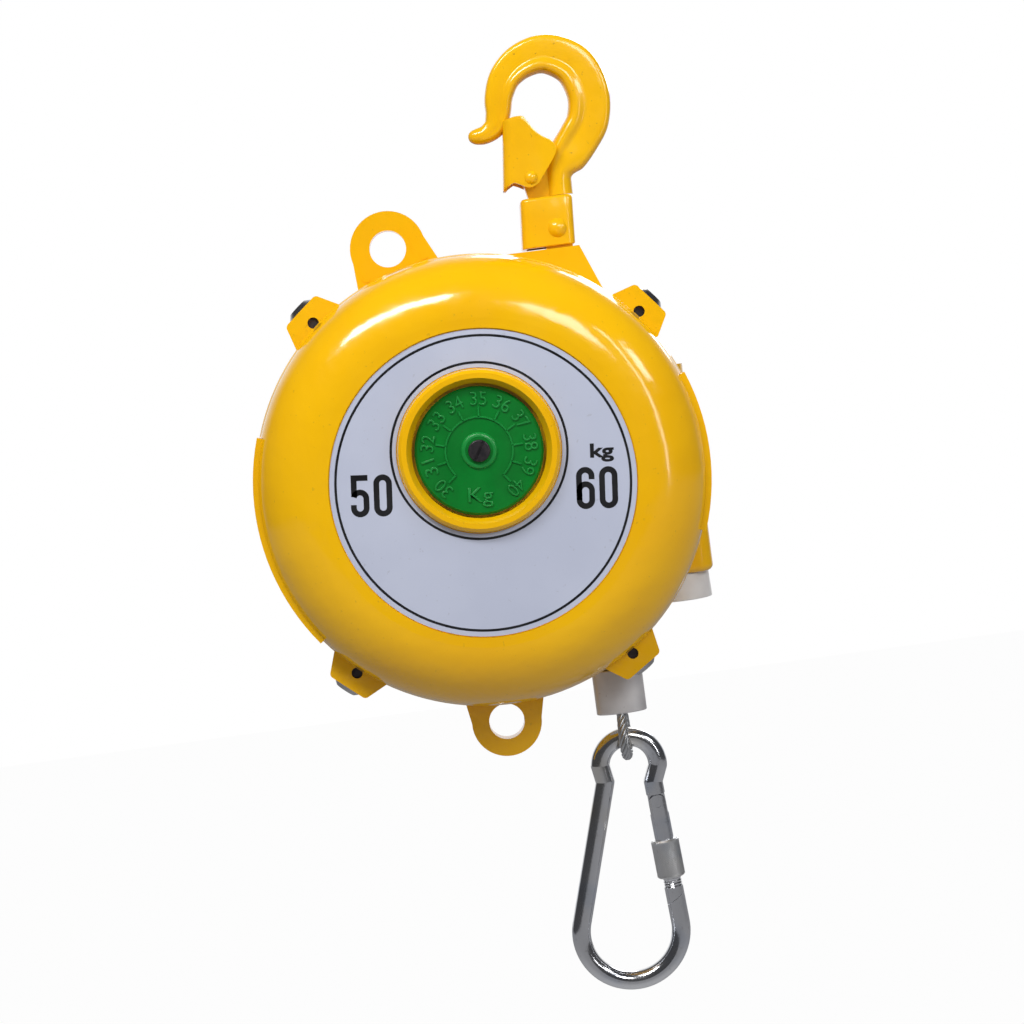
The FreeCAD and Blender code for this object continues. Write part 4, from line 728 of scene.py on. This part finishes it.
@dataclass
class CaseDress:
    """Print on the case's plate: two rings and three plain markings."""

    outer_ring_r: float = 74.3 * MM
    inner_ring_r: float = 44.4 * MM
    ring_width: float = 1.25 * MM
    ink_depth: float = 0.05 * MM
    lean: float = math.radians(-5.6)
    window_rise: float = 16.5 * MM
    advance: float = 11.6 * MM
    figures: tuple[tuple[str, float, float], ...] = (("50", -114.3, -205.9), ("60", -1.3, -216.7))
    unit_at: tuple[float, float] = (3.4, -199.5)
    unit_size: tuple[float, float] = (12.0 * MM, 9.4 * MM)
    unit_weight: float = 0.03

    def on_plate(self, mesh: Mesh, x: float, z: float, spin: float = 0.0) -> Mesh:
        """Lays a flat mesh on the plate's face.

        Args:
            mesh: The mesh, flat in XY, thickness up +Z.
            x: Place of its origin.
            z: Place of its origin.
            spin: Anticlockwise turn as seen from the front, in radians.

        Returns:
            The same mesh, in place.
        """
        face_y = cad_box("label_plate")[0].y
        mesh.transform(Matrix.Translation((x, face_y, z)) @ facing_front(spin))
        return mesh

    def ring(self, radius: float, x: float, z: float) -> Mesh:
        """Returns one printed ring of the given middle radius."""
        half = self.ring_width / 2
        outline = [(radius - half, 0), (radius + half, 0), (radius + half, self.ink_depth),
                   (radius - half, self.ink_depth)]
        return self.on_plate(turned_mesh(outline, 180), x, z)

    def build(self) -> None:
        """Makes the rings and the markings."""
        axis = cad_box("label_plate")[2]
        rings = [self.ring(self.outer_ring_r, axis.x, axis.z),
                 self.ring(self.inner_ring_r, axis.x, axis.z + self.window_rise)]
        lines = [(Numeral().mesh(text, self.advance, self.ink_depth), x, z) for text, x, z in self.figures]
        lines.append((lettering("kg", *self.unit_size, self.ink_depth, self.unit_weight), *self.unit_at))
        lines = [self.on_plate(mesh, x * MM, z * MM, self.lean) for mesh, x, z in lines]
        for name, meshes in (("plate_rings", rings), ("plate_markings", lines)):
            piece = joined(name, meshes, PRINT_INK)
            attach(piece, "case")


@dataclass
class DialDress:
    """Raised scale of the tension dial: numbers 30 to 40, ticks, an arc and the unit."""

    numbers: tuple[int, ...] = tuple(range(30, 41))
    first: float = math.radians(219.0)
    step: float = math.radians(-27.1)
    number_r: float = 26.2 * MM
    number_size: tuple[float, float] = (8.2 * MM, 6.8 * MM)
    unit_r: float = 23.4 * MM
    unit_size: tuple[float, float] = (12.6 * MM, 9.8 * MM)
    unit_at: float = math.radians(-95.5)
    arc_r: float = 17.0 * MM
    tick_end: float = 22.2 * MM
    line: float = 1.05 * MM
    rise: float = 0.75 * MM
    boss_r: float = 8.9 * MM
    boss_rise: float = 1.2 * MM
    sink: float = 0.1 * MM
    rounding: float = 0.022
    taper: float = 0.7
    collar: tuple[float, float, float] = (1.9 * MM, 0.5 * MM, 0.25 * MM)
    sharp_above: float = 50.0

    def face(self) -> Vector:
        """Returns the centre of the dial's flat face."""
        low, _, centre = cad_box("dial")
        return Vector((centre.x, low.y + self.boss_rise, centre.z))

    def settle(self, mesh: Mesh, local: Matrix | None = None) -> Mesh:
        """Moves a mesh made about the dial's axis on to its face, sunk a little so that it joins.

        Args:
            mesh: The mesh, thickness up +Z.
            local: A move in the face's own XY plane, made first.

        Returns:
            The same mesh.
        """
        down = Matrix.Translation((0, 0, -self.sink))
        mesh.transform(Matrix.Translation(self.face()) @ facing_front() @ down @ (local or Matrix()))
        return mesh

    def character_place(self, angle: float, radius: float, spin: float) -> Matrix:
        """Returns the move that puts characters at an angle and radius, turned by spin."""
        middle = Matrix.Translation((radius * math.cos(angle), radius * math.sin(angle), 0))
        return middle @ Matrix.Rotation(spin, 4, "Z")

    def bead(self, middle: float) -> list[tuple[float, float]]:
        """Returns the section of a raised line about a middle, narrower at its top."""
        half, high = self.line / 2, self.rise + self.sink
        return [(middle - half, 0), (middle + half, 0), (middle + self.taper * half, high),
                (middle - self.taper * half, high)]

    def characters(self) -> Object:
        """Makes the numbers and the unit."""
        upright = math.pi / 2
        angles = [self.first + self.step * i for i in range(len(self.numbers))]
        texts = [(str(number), self.number_size, self.character_place(angle, self.number_r, angle - upright))
                 for number, angle in zip(self.numbers, angles)]
        texts.append(("Kg", self.unit_size, self.character_place(self.unit_at, self.unit_r, self.unit_at + upright)))
        # The raised numbers and unit get the lighter green, a painted highlight.
        parts = [self.settle(lettering(text, *size, self.rise + self.sink, 0.0, self.rounding), place)
                 for text, size, place in texts]
        return joined("dial_characters", parts, GREEN_PAINTED_HIGHLIGHT, self.sharp_above)

    def scale(self) -> Object:
        """Makes the arc, its ticks and the collar round the boss."""
        sweep = abs(self.step) * (len(self.numbers) - 1)
        # The arc, ticks and collar get the lighter green, a painted highlight.
        arc = turned_mesh(self.bead(self.arc_r), 160, self.first - sweep, sweep)
        reach = (self.tick_end - self.arc_r) / 2
        tick = skinned([[(x, y, z) for y, z in self.bead(0.0)] for x in (-reach, reach)])
        ticks = fan_pattern().run(bpy.data.objects.new("tick", tick), GREEN_PAINTED_HIGHLIGHT, Count=len(self.numbers),
                                  First=self.first, Turn=self.step, Radius=self.arc_r + reach)
        inner, lip, above = self.collar
        top = self.boss_rise + above
        collar = turned_mesh([(self.boss_r - inner, 0), (self.boss_r + lip, 0), (self.boss_r, self.taper * top),
                              (self.boss_r - lip, top), (self.boss_r - inner, top)], 72)
        return joined("dial_scale", [self.settle(mesh) for mesh in (arc, ticks, collar)], GREEN_PAINTED_HIGHLIGHT,
                      self.sharp_above)

    def build(self) -> None:
        """Makes both raised pieces."""
        for piece in (self.characters(), self.scale()):
            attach(piece, "tension_shaft")


def between(rows: Sequence[Sequence[float]], place: float) -> list[float]:
    """Reads a row of numbers at a place between rows, along a smooth cubic.

    Args:
        rows: The rows.
        place: 0 for the first row, 1 for the second, and so on.

    Returns:
        The row there.
    """
    last = len(rows) - 1
    i = min(int(place), last - 1)
    t = place - i
    p0, p1, p2, p3 = rows[max(i - 1, 0)], rows[i], rows[i + 1], rows[min(i + 2, last)]
    return [0.5 * (2 * b + (c - a) * t + (2 * a - 5 * b + 4 * c - d) * t * t + (3 * b - a - 3 * c + d) * t ** 3)
            for a, b, c, d in zip(p0, p1, p2, p3)]


@dataclass
class HookDress:
    """Forged hook with a bead round its bowl, its sheet latch and the yoke it swivels in."""

    half_depth: float = 8.0
    steps: int = 7
    shank_x: float = 1.0
    shank_foot: float = -64.6
    stem_foot: float = -75.5
    nose_half: float = 4.0
    cheek_y: float = 10.8
    sheet: float = 1.6
    bend: float = 5.6
    yoke_half_y: float = 11.8
    yoke_wall: float = 2.5
    yoke_top: float = -65.0
    yoke_foot: float = -91.0
    yoke_left: float = -18.8
    yoke_right: float = 8.6
    yoke_draft: tuple[float, float] = (2.1, 1.6)
    yoke_corner: float = 4.4
    least_corner: float = 0.6
    yoke_hole_r: float = 4.2
    stem_r: float = 4.0
    fold_x: float = -17.1
    fold_steps: int = 8
    fold_drop: tuple[float, float] = (1.6, 3.4)
    sheet_rows: int = 16
    sheet_lean: float = 0.1176
    lean_from: float = -8.0
    lean_level: float = -24.8
    sheet_edge: float = 0.35

    def sections(self) -> list[tuple[float, ...]]:
        """Returns x, z, outward lean, half width, half depth and forging share from the neck to the tip."""
        deep = self.half_depth
        return [(2.6, -64.6, 0, 7.0, 7.0, 0.0), (2.8, -59.0, -3, 6.9, 6.9, 0.0), (3.5, -53.5, -12, 7.3, 7.2, 0.1),
                (8.4, -46.0, -34, 10.4, deep, 0.6), (16.2, -36.6, -37, 11.0, deep, 1.0),
                (22.4, -27.0, -20, 11.2, deep, 1.0), (24.0, -13.0, 6, 11.2, deep, 1.0),
                (18.2, 1.8, 42, 11.2, deep, 1.0), (4.6, 9.4, 77, 10.2, deep, 1.0),
                (-8.4, 7.4, 111, 9.3, deep, 1.0), (-18.0, 0.0, 146, 8.3, 0.97 * deep, 1.0),
                (-22.6, -10.0, 174, 7.6, 0.92 * deep, 0.9), (-24.0, -18.5, 176, 6.7, 0.84 * deep, 0.7),
                (-26.8, -25.0, 142, 5.8, 0.74 * deep, 0.4), (-32.4, -28.2, 101, 4.9, 0.62 * deep, 0.2),
                (-36.8, -28.7, 88, 4.2, 0.52 * deep, 0.0), (-39.2, -28.6, 86, 3.3, 0.42 * deep, 0.0),
                (-40.6, -28.5, 86, 2.1, 0.27 * deep, 0.0), (-41.2, -28.4, 86, 0.7, 0.09 * deep, 0.0)]

    def section_ring(self, row: Sequence[float]) -> list[tuple[float, float, float]]:
        """Returns one closed section: flat outer web, crease, and a round bead on the inner side."""
        x, z, lean, wide, deep, forged = row
        half = [(1.0, 0.0), (0.99, 0.28), (0.95, 0.53), (0.88, 0.70), (0.76, 0.775), (0.55, 0.79), (0.3, 0.79),
                (0.08, 0.785), (-0.1, 0.765), (-0.2, 0.755), (-0.3, 0.80), (-0.42, 0.92), (-0.56, 0.99),
                (-0.7, 0.99), (-0.82, 0.88), (-0.92, 0.66), (-0.98, 0.36), (-1.0, 0.0)]
        loop = half + [(u, -w) for u, w in reversed(half[1:-1])]
        angle = math.radians(lean)
        ring = []
        for u, w in loop:
            around = math.atan2(w, u)
            round_u, round_w = math.cos(around), math.sin(around)
            u = (forged * u + (1 - forged) * round_u) * wide
            w = (forged * w + (1 - forged) * round_w) * deep
            ring.append(((x + u * math.cos(angle)) * MM, w * MM, (z + u * math.sin(angle)) * MM))
        return ring

    def plate(self, outline: Outline, half: float) -> Mesh:
        """Returns a flat plate of an (x, z) outline in mm, half thick to each side of the middle plane."""
        rings = [[(x * MM, y * MM, z * MM) for x, z in outline] for y in (-half, half)]
        return skinned(rings)

    def hook(self) -> Object:
        """Makes the hook with its shank and the nose that carries the latch."""
        rows = self.sections()
        total = (len(rows) - 1) * self.steps
        bowl = skinned([self.section_ring(between(rows, i / self.steps)) for i in range(total + 1)])
        low, high = self.stem_foot * MM, self.shank_foot * MM
        stem = turned_mesh([(0.0, low), (self.stem_r * MM, low), (self.stem_r * MM, high), (0.0, high)], 32)
        stem.transform(Matrix.Translation((self.shank_x * MM, 0, 0)))
        end = arc_points((-11.6, -54.3), 5.0, 80, 200)
        nose = self.plate([(6.0, -47.0), (-2.0, -44.5), *end, (-15.2, -60.0), (-14.2, self.shank_foot),
                           (6.0, self.shank_foot)], self.nose_half)
        piece = joined("forged_hook", [bowl, stem, nose], FORGED_ENAMEL, smooth_below=50)
        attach(piece, "hook")
        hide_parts("hook")
        return piece

    def sheet_columns(self) -> list[tuple[float, float, float, float, float]]:
        """Returns x, y, top, foot and share of the lean of the latch sheet, from one cheek's end to the other's."""
        top = [(3.5, -40.3), (2.6, -38.2), (0.6, -35.7), (-2.6, -34.0), (-5.6, -31.4), (-8.0, -28.2), (-10.2, -24.6),
               (-11.8, -22.2), (-13.4, -21.8), (-15.2, -21.8), (-17.1, -21.9)]
        foot = [-41.2, -43.6, -46.6, -50.8, -54.6, -57.6, -59.2, -59.3, -58.4, -57.0, -55.9]
        columns = [(x, -self.cheek_y, z, low, max(0.0, (x - self.lean_from) / (self.fold_x - self.lean_from)))
                   for (x, z), low in zip(top, foot)]
        flat = self.cheek_y - self.bend
        for step in range(1, self.fold_steps + 1):
            share = step / self.fold_steps
            turn = math.pi / 2 * share
            columns.append((self.fold_x - self.bend * math.sin(turn), -flat - self.bend * math.cos(turn),
                            top[-1][1] - self.fold_drop[0] * share, foot[-1] - self.fold_drop[1] * share, 1.0))
        return columns + [(x, -y, z, low, share) for x, y, z, low, share in reversed(columns)]

    def sheet_mesh(self) -> Mesh:
        """Returns the latch's sheet without its thickness, as a grid of columns and rows."""
        columns, rows = self.sheet_columns(), self.sheet_rows
        verts = []
        for x, y, z, low, share in columns:
            for j in range(rows + 1):
                height = z + (low - z) * j / rows
                lean = share * self.sheet_lean * (height - self.lean_level)
                verts.append(((x + lean) * MM, y * MM, height * MM))
        starts = [i * (rows + 1) + j for i in range(len(columns) - 1) for j in range(rows)]
        return mesh_of(verts, [(a, a + rows + 1, a + rows + 2, a + 1) for a in starts])

    def latch(self) -> Object:
        """Makes the latch: a bent sheet with two cheeks and a round fold."""
        shape = bpy.data.objects.new("sheet", self.sheet_mesh())
        front = next(f for f in shape.data.polygons if f.center.y < -0.9 * self.cheek_y * MM)
        if front.normal.y > 0:
            shape.data.flip_normals()
        solid = linked(shape).modifiers.new("thickness", "SOLIDIFY")
        solid.thickness = self.sheet * MM
        solid.offset = -1.0
        soft = shape.modifiers.new("edge", "BEVEL")
        soft.width = self.sheet_edge * MM
        soft.segments = 2
        soft.limit_method = "ANGLE"
        piece = placed_object("sheet_latch", baked(shape), FORGED_ENAMEL, smooth_below=40)
        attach(piece, "latch")
        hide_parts("latch")
        return piece

    def yoke_ring(self, z: float, inset: float) -> list[tuple[float, float, float]]:
        """Returns the yoke's rounded outline at a height, moved inwards by inset, in metres."""
        down = (self.yoke_top - z) / (self.yoke_top - self.yoke_foot)
        left = self.yoke_left - self.yoke_draft[0] * down + inset
        right = self.yoke_right - self.yoke_draft[1] * down - inset
        half = self.yoke_half_y - inset
        corner = max(self.least_corner, self.yoke_corner - inset)
        ring = []
        for cx, cy, first in ((right - corner, half - corner, 0), (left + corner, half - corner, 90),
                              (left + corner, corner - half, 180), (right - corner, corner - half, 270)):
            ring += arc_points((cx, cy), corner, first, first + 90, 10)
        return [(x * MM, y * MM, z * MM) for x, y in ring]

    def yoke(self) -> Object:
        """Makes the yoke: a cast box, open below."""
        wall, top, foot = self.yoke_wall, self.yoke_top, self.yoke_foot
        outer = [self.yoke_ring(z, inset) for z, inset in ((foot, 0.5), (-90.5, 0.0), (-84.0, 0.0), (-75.0, 0.0),
                                                          (-66.8, 0.0), (-65.8, 0.35), (-65.2, 1.0), (top, 2.0))]
        middle = Vector((self.shank_x, 0.0))
        ways = [self.yoke_hole_r * (Vector(point[:2]) / MM - middle).normalized() for point in outer[-1]]
        holes = [[((middle.x + way.x) * MM, way.y * MM, z * MM) for way in ways] for z in (top, top - wall)]
        inner = [self.yoke_ring(z, wall) for z in (top - wall, -80.0, foot)]
        shell = skinned(outer + holes + inner, closed=True)
        piece = placed_object("cast_yoke", shell, FORGED_ENAMEL, smooth_below=40)
        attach(piece, "yoke")
        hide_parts("yoke")
        return piece

    def build(self) -> None:
        """Makes the three pieces."""
        for piece in (self.hook(), self.latch(), self.yoke()):
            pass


@dataclass
class RopeDress:
    """Laid steel rope: the stretch from the drum to the ferrule, and the eye below it."""

    rope_r: float = 2.75 * MM
    strands: int = 6
    pulled: float = 1.501
    lay: float = 38.0 * MM
    eye_drop: float = 12.9 * MM
    eye_r: float = 9.7 * MM
    leg: float = 3.3 * MM
    eye_turn: float = math.radians(-8.0)
    packing: float = 1.06
    core_share: float = 1.1
    eye_lay: float = 0.55

    def strand_r(self) -> float:
        """Returns the radius of one of the strands that fill the rope round a core."""
        return self.rope_r / 3 * self.packing

    def laid(self, name: str, points: Sequence[Vector], lay: float, step: float, sides: int) -> Object:
        """Lays strands and a core along a route.

        Args:
            name: The piece's name.
            points: The route's control points.
            lay: Length of one turn of a strand.
            step: Spacing of the sections.
            sides: Sides of a strand's section.

        Returns:
            The piece.
        """
        tree = strands_pattern()
        thin = self.strand_r()
        outer = tree.run(route_object(points), ROPE_STEEL, Strands=self.strands, Lay=lay, Orbit=self.rope_r - thin,
                         Strand_Radius=thin, Step=step, Sides=sides)
        core = tree.run(route_object(points), ROPE_STEEL, Strands=1, Lay=lay, Orbit=0.0,
                        Strand_Radius=thin * self.core_share, Step=3 * step, Sides=sides)
        return joined(name, [outer, core], ROPE_STEEL, smooth_below=60)

    def build(self) -> None:
        """Makes both lengths; the fall is laid tighter, in the ratio of its length to its length with the rope pulled
        out.
        """
        low, high, centre = cad_box("rope_fall")
        top, bottom = Vector((centre.x, centre.y, high.z)), Vector((centre.x, centre.y, low.z))
        length = high.z - low.z
        squeezed = self.lay * length / (length + self.pulled)
        stops = [top.lerp(bottom, i / 3) for i in range(4)]
        fall = self.laid("rope_fall_strands", stops, squeezed, squeezed / 9, 6)
        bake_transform(fall)
        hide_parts("rope_fall")
        foot = cad_box("ferrule")[0].z
        middle = foot - self.eye_drop
        r, rise = self.eye_r, 3 * MM
        shape = [(-self.leg, foot + rise), (-self.leg, foot), (-0.86 * r, middle + 0.62 * r), (-1.07 * r, middle),
                 (-0.86 * r, middle - 0.86 * r), (0, middle - 1.14 * r), (0.86 * r, middle - 0.86 * r),
                 (1.07 * r, middle), (0.86 * r, middle + 0.62 * r), (self.leg, foot), (self.leg, foot + rise)]
        turn = Matrix.Rotation(self.eye_turn, 4, "Z")
        route = [turn @ Vector((0, y, z)) for y, z in shape]
        eye = self.laid("rope_eye_strands", route, self.eye_lay * self.lay, 0.5 * MM, 12)
        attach(eye, "rope_end")
        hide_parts("rope_eye")


@dataclass
class SleeveDress:
    """Diamond knurling on the carabiner's locking sleeve."""

    outer_r: float = 7.5 * MM
    bore_r: float = 5.05 * MM
    length: float = 20.5 * MM
    chamfer: float = 0.8 * MM
    starts: int = 34
    depth: float = 0.24 * MM
    per_start: int = 4
    fade_rows: int = 3

    def axis(self) -> tuple[Vector, Vector]:
        """Returns the sleeve's centre and the direction down its axis, from the record's joint."""
        joint = next(j for j in frame["record"]["behaviour"]["joints"] if j["name"] == "sleeve_travel")
        return cad_box("screw_sleeve")[2], Vector(joint["axis"]).normalized()

    def build(self) -> None:
        """Makes the sleeve with its knurled skin, in place of the plain CAD sleeve."""
        around = self.starts * self.per_start
        pitch = TAU * self.outer_r / self.starts
        rows = int((self.length - 2 * self.chamfer) / pitch * self.per_start)
        half = self.length / 2

        def ring(z: float, radii: Sequence[float]) -> list[tuple[float, float, float]]:
            """Returns one loop of points at a height."""
            return [(r * math.cos(TAU * i / around), r * math.sin(TAU * i / around), z) for i, r in enumerate(radii)]

        foot, head = ([ring(z, [r] * around) for r in (self.bore_r, self.outer_r - self.chamfer)]
                      for z in (-half, half))
        skin = []
        for j in range(rows + 1):
            z = -half + self.chamfer + (self.length - 2 * self.chamfer) * j / rows
            cut = self.depth * min(1.0, min(j, rows - j) / self.fade_rows)
            crests = [min(abs(math.sin(math.pi * (i / self.per_start + side * z / pitch))) for side in (1, -1))
                      for i in range(around)]
            skin.append(ring(z, [self.outer_r - cut * (1 - crest) for crest in crests]))
        mesh = skinned(foot + skin + head[::-1], closed=True)
        centre, down = self.axis()
        mesh.transform(Matrix.Translation(centre) @ Vector((0, 0, -1)).rotation_difference(down).to_matrix().to_4x4())
        piece = placed_object("knurled_sleeve", mesh, DULL_ZINC, smooth_below=30)
        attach(piece, "sleeve")
        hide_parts("screw_sleeve")


# ------------------------------------------------------------------ studio
@dataclass
class Studio:
    """Pale floor, plain white surround, soft boxes and the camera."""

    aim: Vector = field(default_factory=lambda: Vector((-0.0441, 0.0, -0.2267)))
    eye: Vector = field(default_factory=lambda: Vector((-0.07002, -1.33215, -0.15621)))
    roll: float = math.radians(7.5)
    lens: float = 88.67
    sensor: float = 36.0
    far: float = 50.0
    lamp_target: Vector = field(default_factory=lambda: Vector((-0.055, 0.0, -0.22)))
    floor_z: float = -2.1
    floor_reach: float = 14.0
    floor_grey: Colour = (0.72, 0.72, 0.72)
    floor_glow: float = 0.975
    white: Colour = (1.0, 1.0, 1.0)
    room_light: Colour = (0.35, 0.35, 0.36)
    room_dark: Colour = (0.055, 0.055, 0.057)
    room_bright: Colour = (0.95, 0.95, 0.95)
    room_edge: tuple[float, float] = (0.45, 1.0)

    def camera(self) -> None:
        """Makes the camera, rolled so that the object leans as it was laid out."""
        data = bpy.data.cameras.new("camera")
        data.lens = self.lens
        data.sensor_width = self.sensor
        data.clip_end = self.far
        made = linked(bpy.data.objects.new("camera", data))
        forward = (self.aim - self.eye).normalized()
        up = Vector((math.sin(self.roll), 0, math.cos(self.roll)))
        right = forward.cross(up).normalized()
        up = right.cross(forward)
        turn = Matrix((right, up, -forward)).transposed().to_4x4()
        made.matrix_world = Matrix.Translation(self.eye) @ turn
        bpy.context.scene.camera = made

    def soft_box(self, name: str, at: Sequence[float], size: tuple[float, float], power: float) -> None:
        """Adds a rectangular lamp that faces the object.

        Args:
            name: The lamp's name.
            at: Its place.
            size: Its width and height.
            power: Its power in watts.
        """
        data = bpy.data.lights.new(name, "AREA")
        data.shape = "RECTANGLE"
        data.size, data.size_y = size
        data.energy = power
        made = linked(bpy.data.objects.new(name, data))
        made.location = at
        made.rotation_euler = (self.lamp_target - Vector(at)).to_track_quat("-Z", "Y").to_euler()

    def surround(self) -> None:
        """White world for the camera, softer for the light, darker behind the camera in reflections."""
        world = bpy.data.worlds.new("surround")
        bpy.context.scene.world = world
        world.use_nodes = True
        graph = Graph(world.node_tree)
        split = graph.node("ShaderNodeSeparateXYZ", {}, {0: graph.node("ShaderNodeTexCoord", out="Generated")}, out="Y")
        room = graph.mix(split.clamped(*self.room_edge), self.room_dark, self.room_bright)
        path = {key: graph.node("ShaderNodeLightPath", out=key)
                for key in ("Is Camera Ray", "Is Glossy Ray", "Is Transmission Ray")}
        soft = graph.mix(path["Is Glossy Ray"], self.room_light, room)
        seen = graph.mix(path["Is Camera Ray"] + path["Is Transmission Ray"], soft, self.white)
        graph.close("ShaderNodeOutputWorld", graph.node("ShaderNodeBackground", {}, {"Color": seen}))

    def floor(self) -> None:
        """Wide pale floor that keeps a faint shadow of the object."""
        material = bpy.data.materials.new("pale_floor")
        material.use_nodes = True
        graph = Graph(material.node_tree)
        matt = graph.node("ShaderNodeBsdfDiffuse", {}, {"Color": (*self.floor_grey, 1.0)})
        glow = graph.node("ShaderNodeEmission", {}, {"Color": (*self.white, 1.0)})
        seen = graph.node("ShaderNodeLightPath", out="Is Camera Ray") * self.floor_glow
        graph.close("ShaderNodeOutputMaterial", graph.node("ShaderNodeMixShader", {}, {0: seen, 1: matt, 2: glow}))
        reach = self.floor_reach
        corners = [(-reach, -reach), (reach, -reach), (reach, reach), (-reach, reach)]
        mesh = mesh_of([(x, y, self.floor_z) for x, y in corners], [(0, 1, 2, 3)])
        mesh.materials.append(material)
        made = linked(bpy.data.objects.new("pale_floor", mesh))

    def build(self) -> None:
        """Sets up camera, lamps, surround and floor."""
        bpy.context.scene.view_settings.view_transform = "Standard"
        self.camera()
        self.surround()
        self.floor()
        self.soft_box("overhead_box", (-0.43, -0.75, 0.72), (0.74, 0.17), 9.3)
        self.soft_box("right_strip", (0.74, -0.85, 0.07), (0.05, 0.85), 1.2)
        self.soft_box("right_box", (0.94, -0.63, 0.33), (0.22, 0.22), 1.4)
        self.soft_box("front_fill", (0.5, -1.45, 0.55), (0.45, 0.45), 5.0)
        self.soft_box("back_fill", (0.5, 1.4, 0.5), (0.9, 0.7), 9.0)


def dress_cad_nodes() -> None:
    """Gives every shown CAD node its finish; pins that were painted in place get the enamel."""
    for finish, names in {**NODE_FINISHES, FORGED_ENAMEL: NODE_FINISHES[FORGED_ENAMEL] + PAINTED_PINS}.items():
        for name in names:
            for slot in frame["nodes"][name].material_slots:
                slot.material = finish.material()


def main() -> None:
    """Builds the studio, then every sub-assembly in turn."""
    logging.basicConfig(level=logging.INFO, format="%(message)s")
    Studio().build()
    dress_cad_nodes()
    for part in (CaseDress(), DialDress(), HookDress(), RopeDress(), SleeveDress()):
        log.info("building %s", type(part).__name__)
        part.build()


if __name__ == "__main__":
    main()
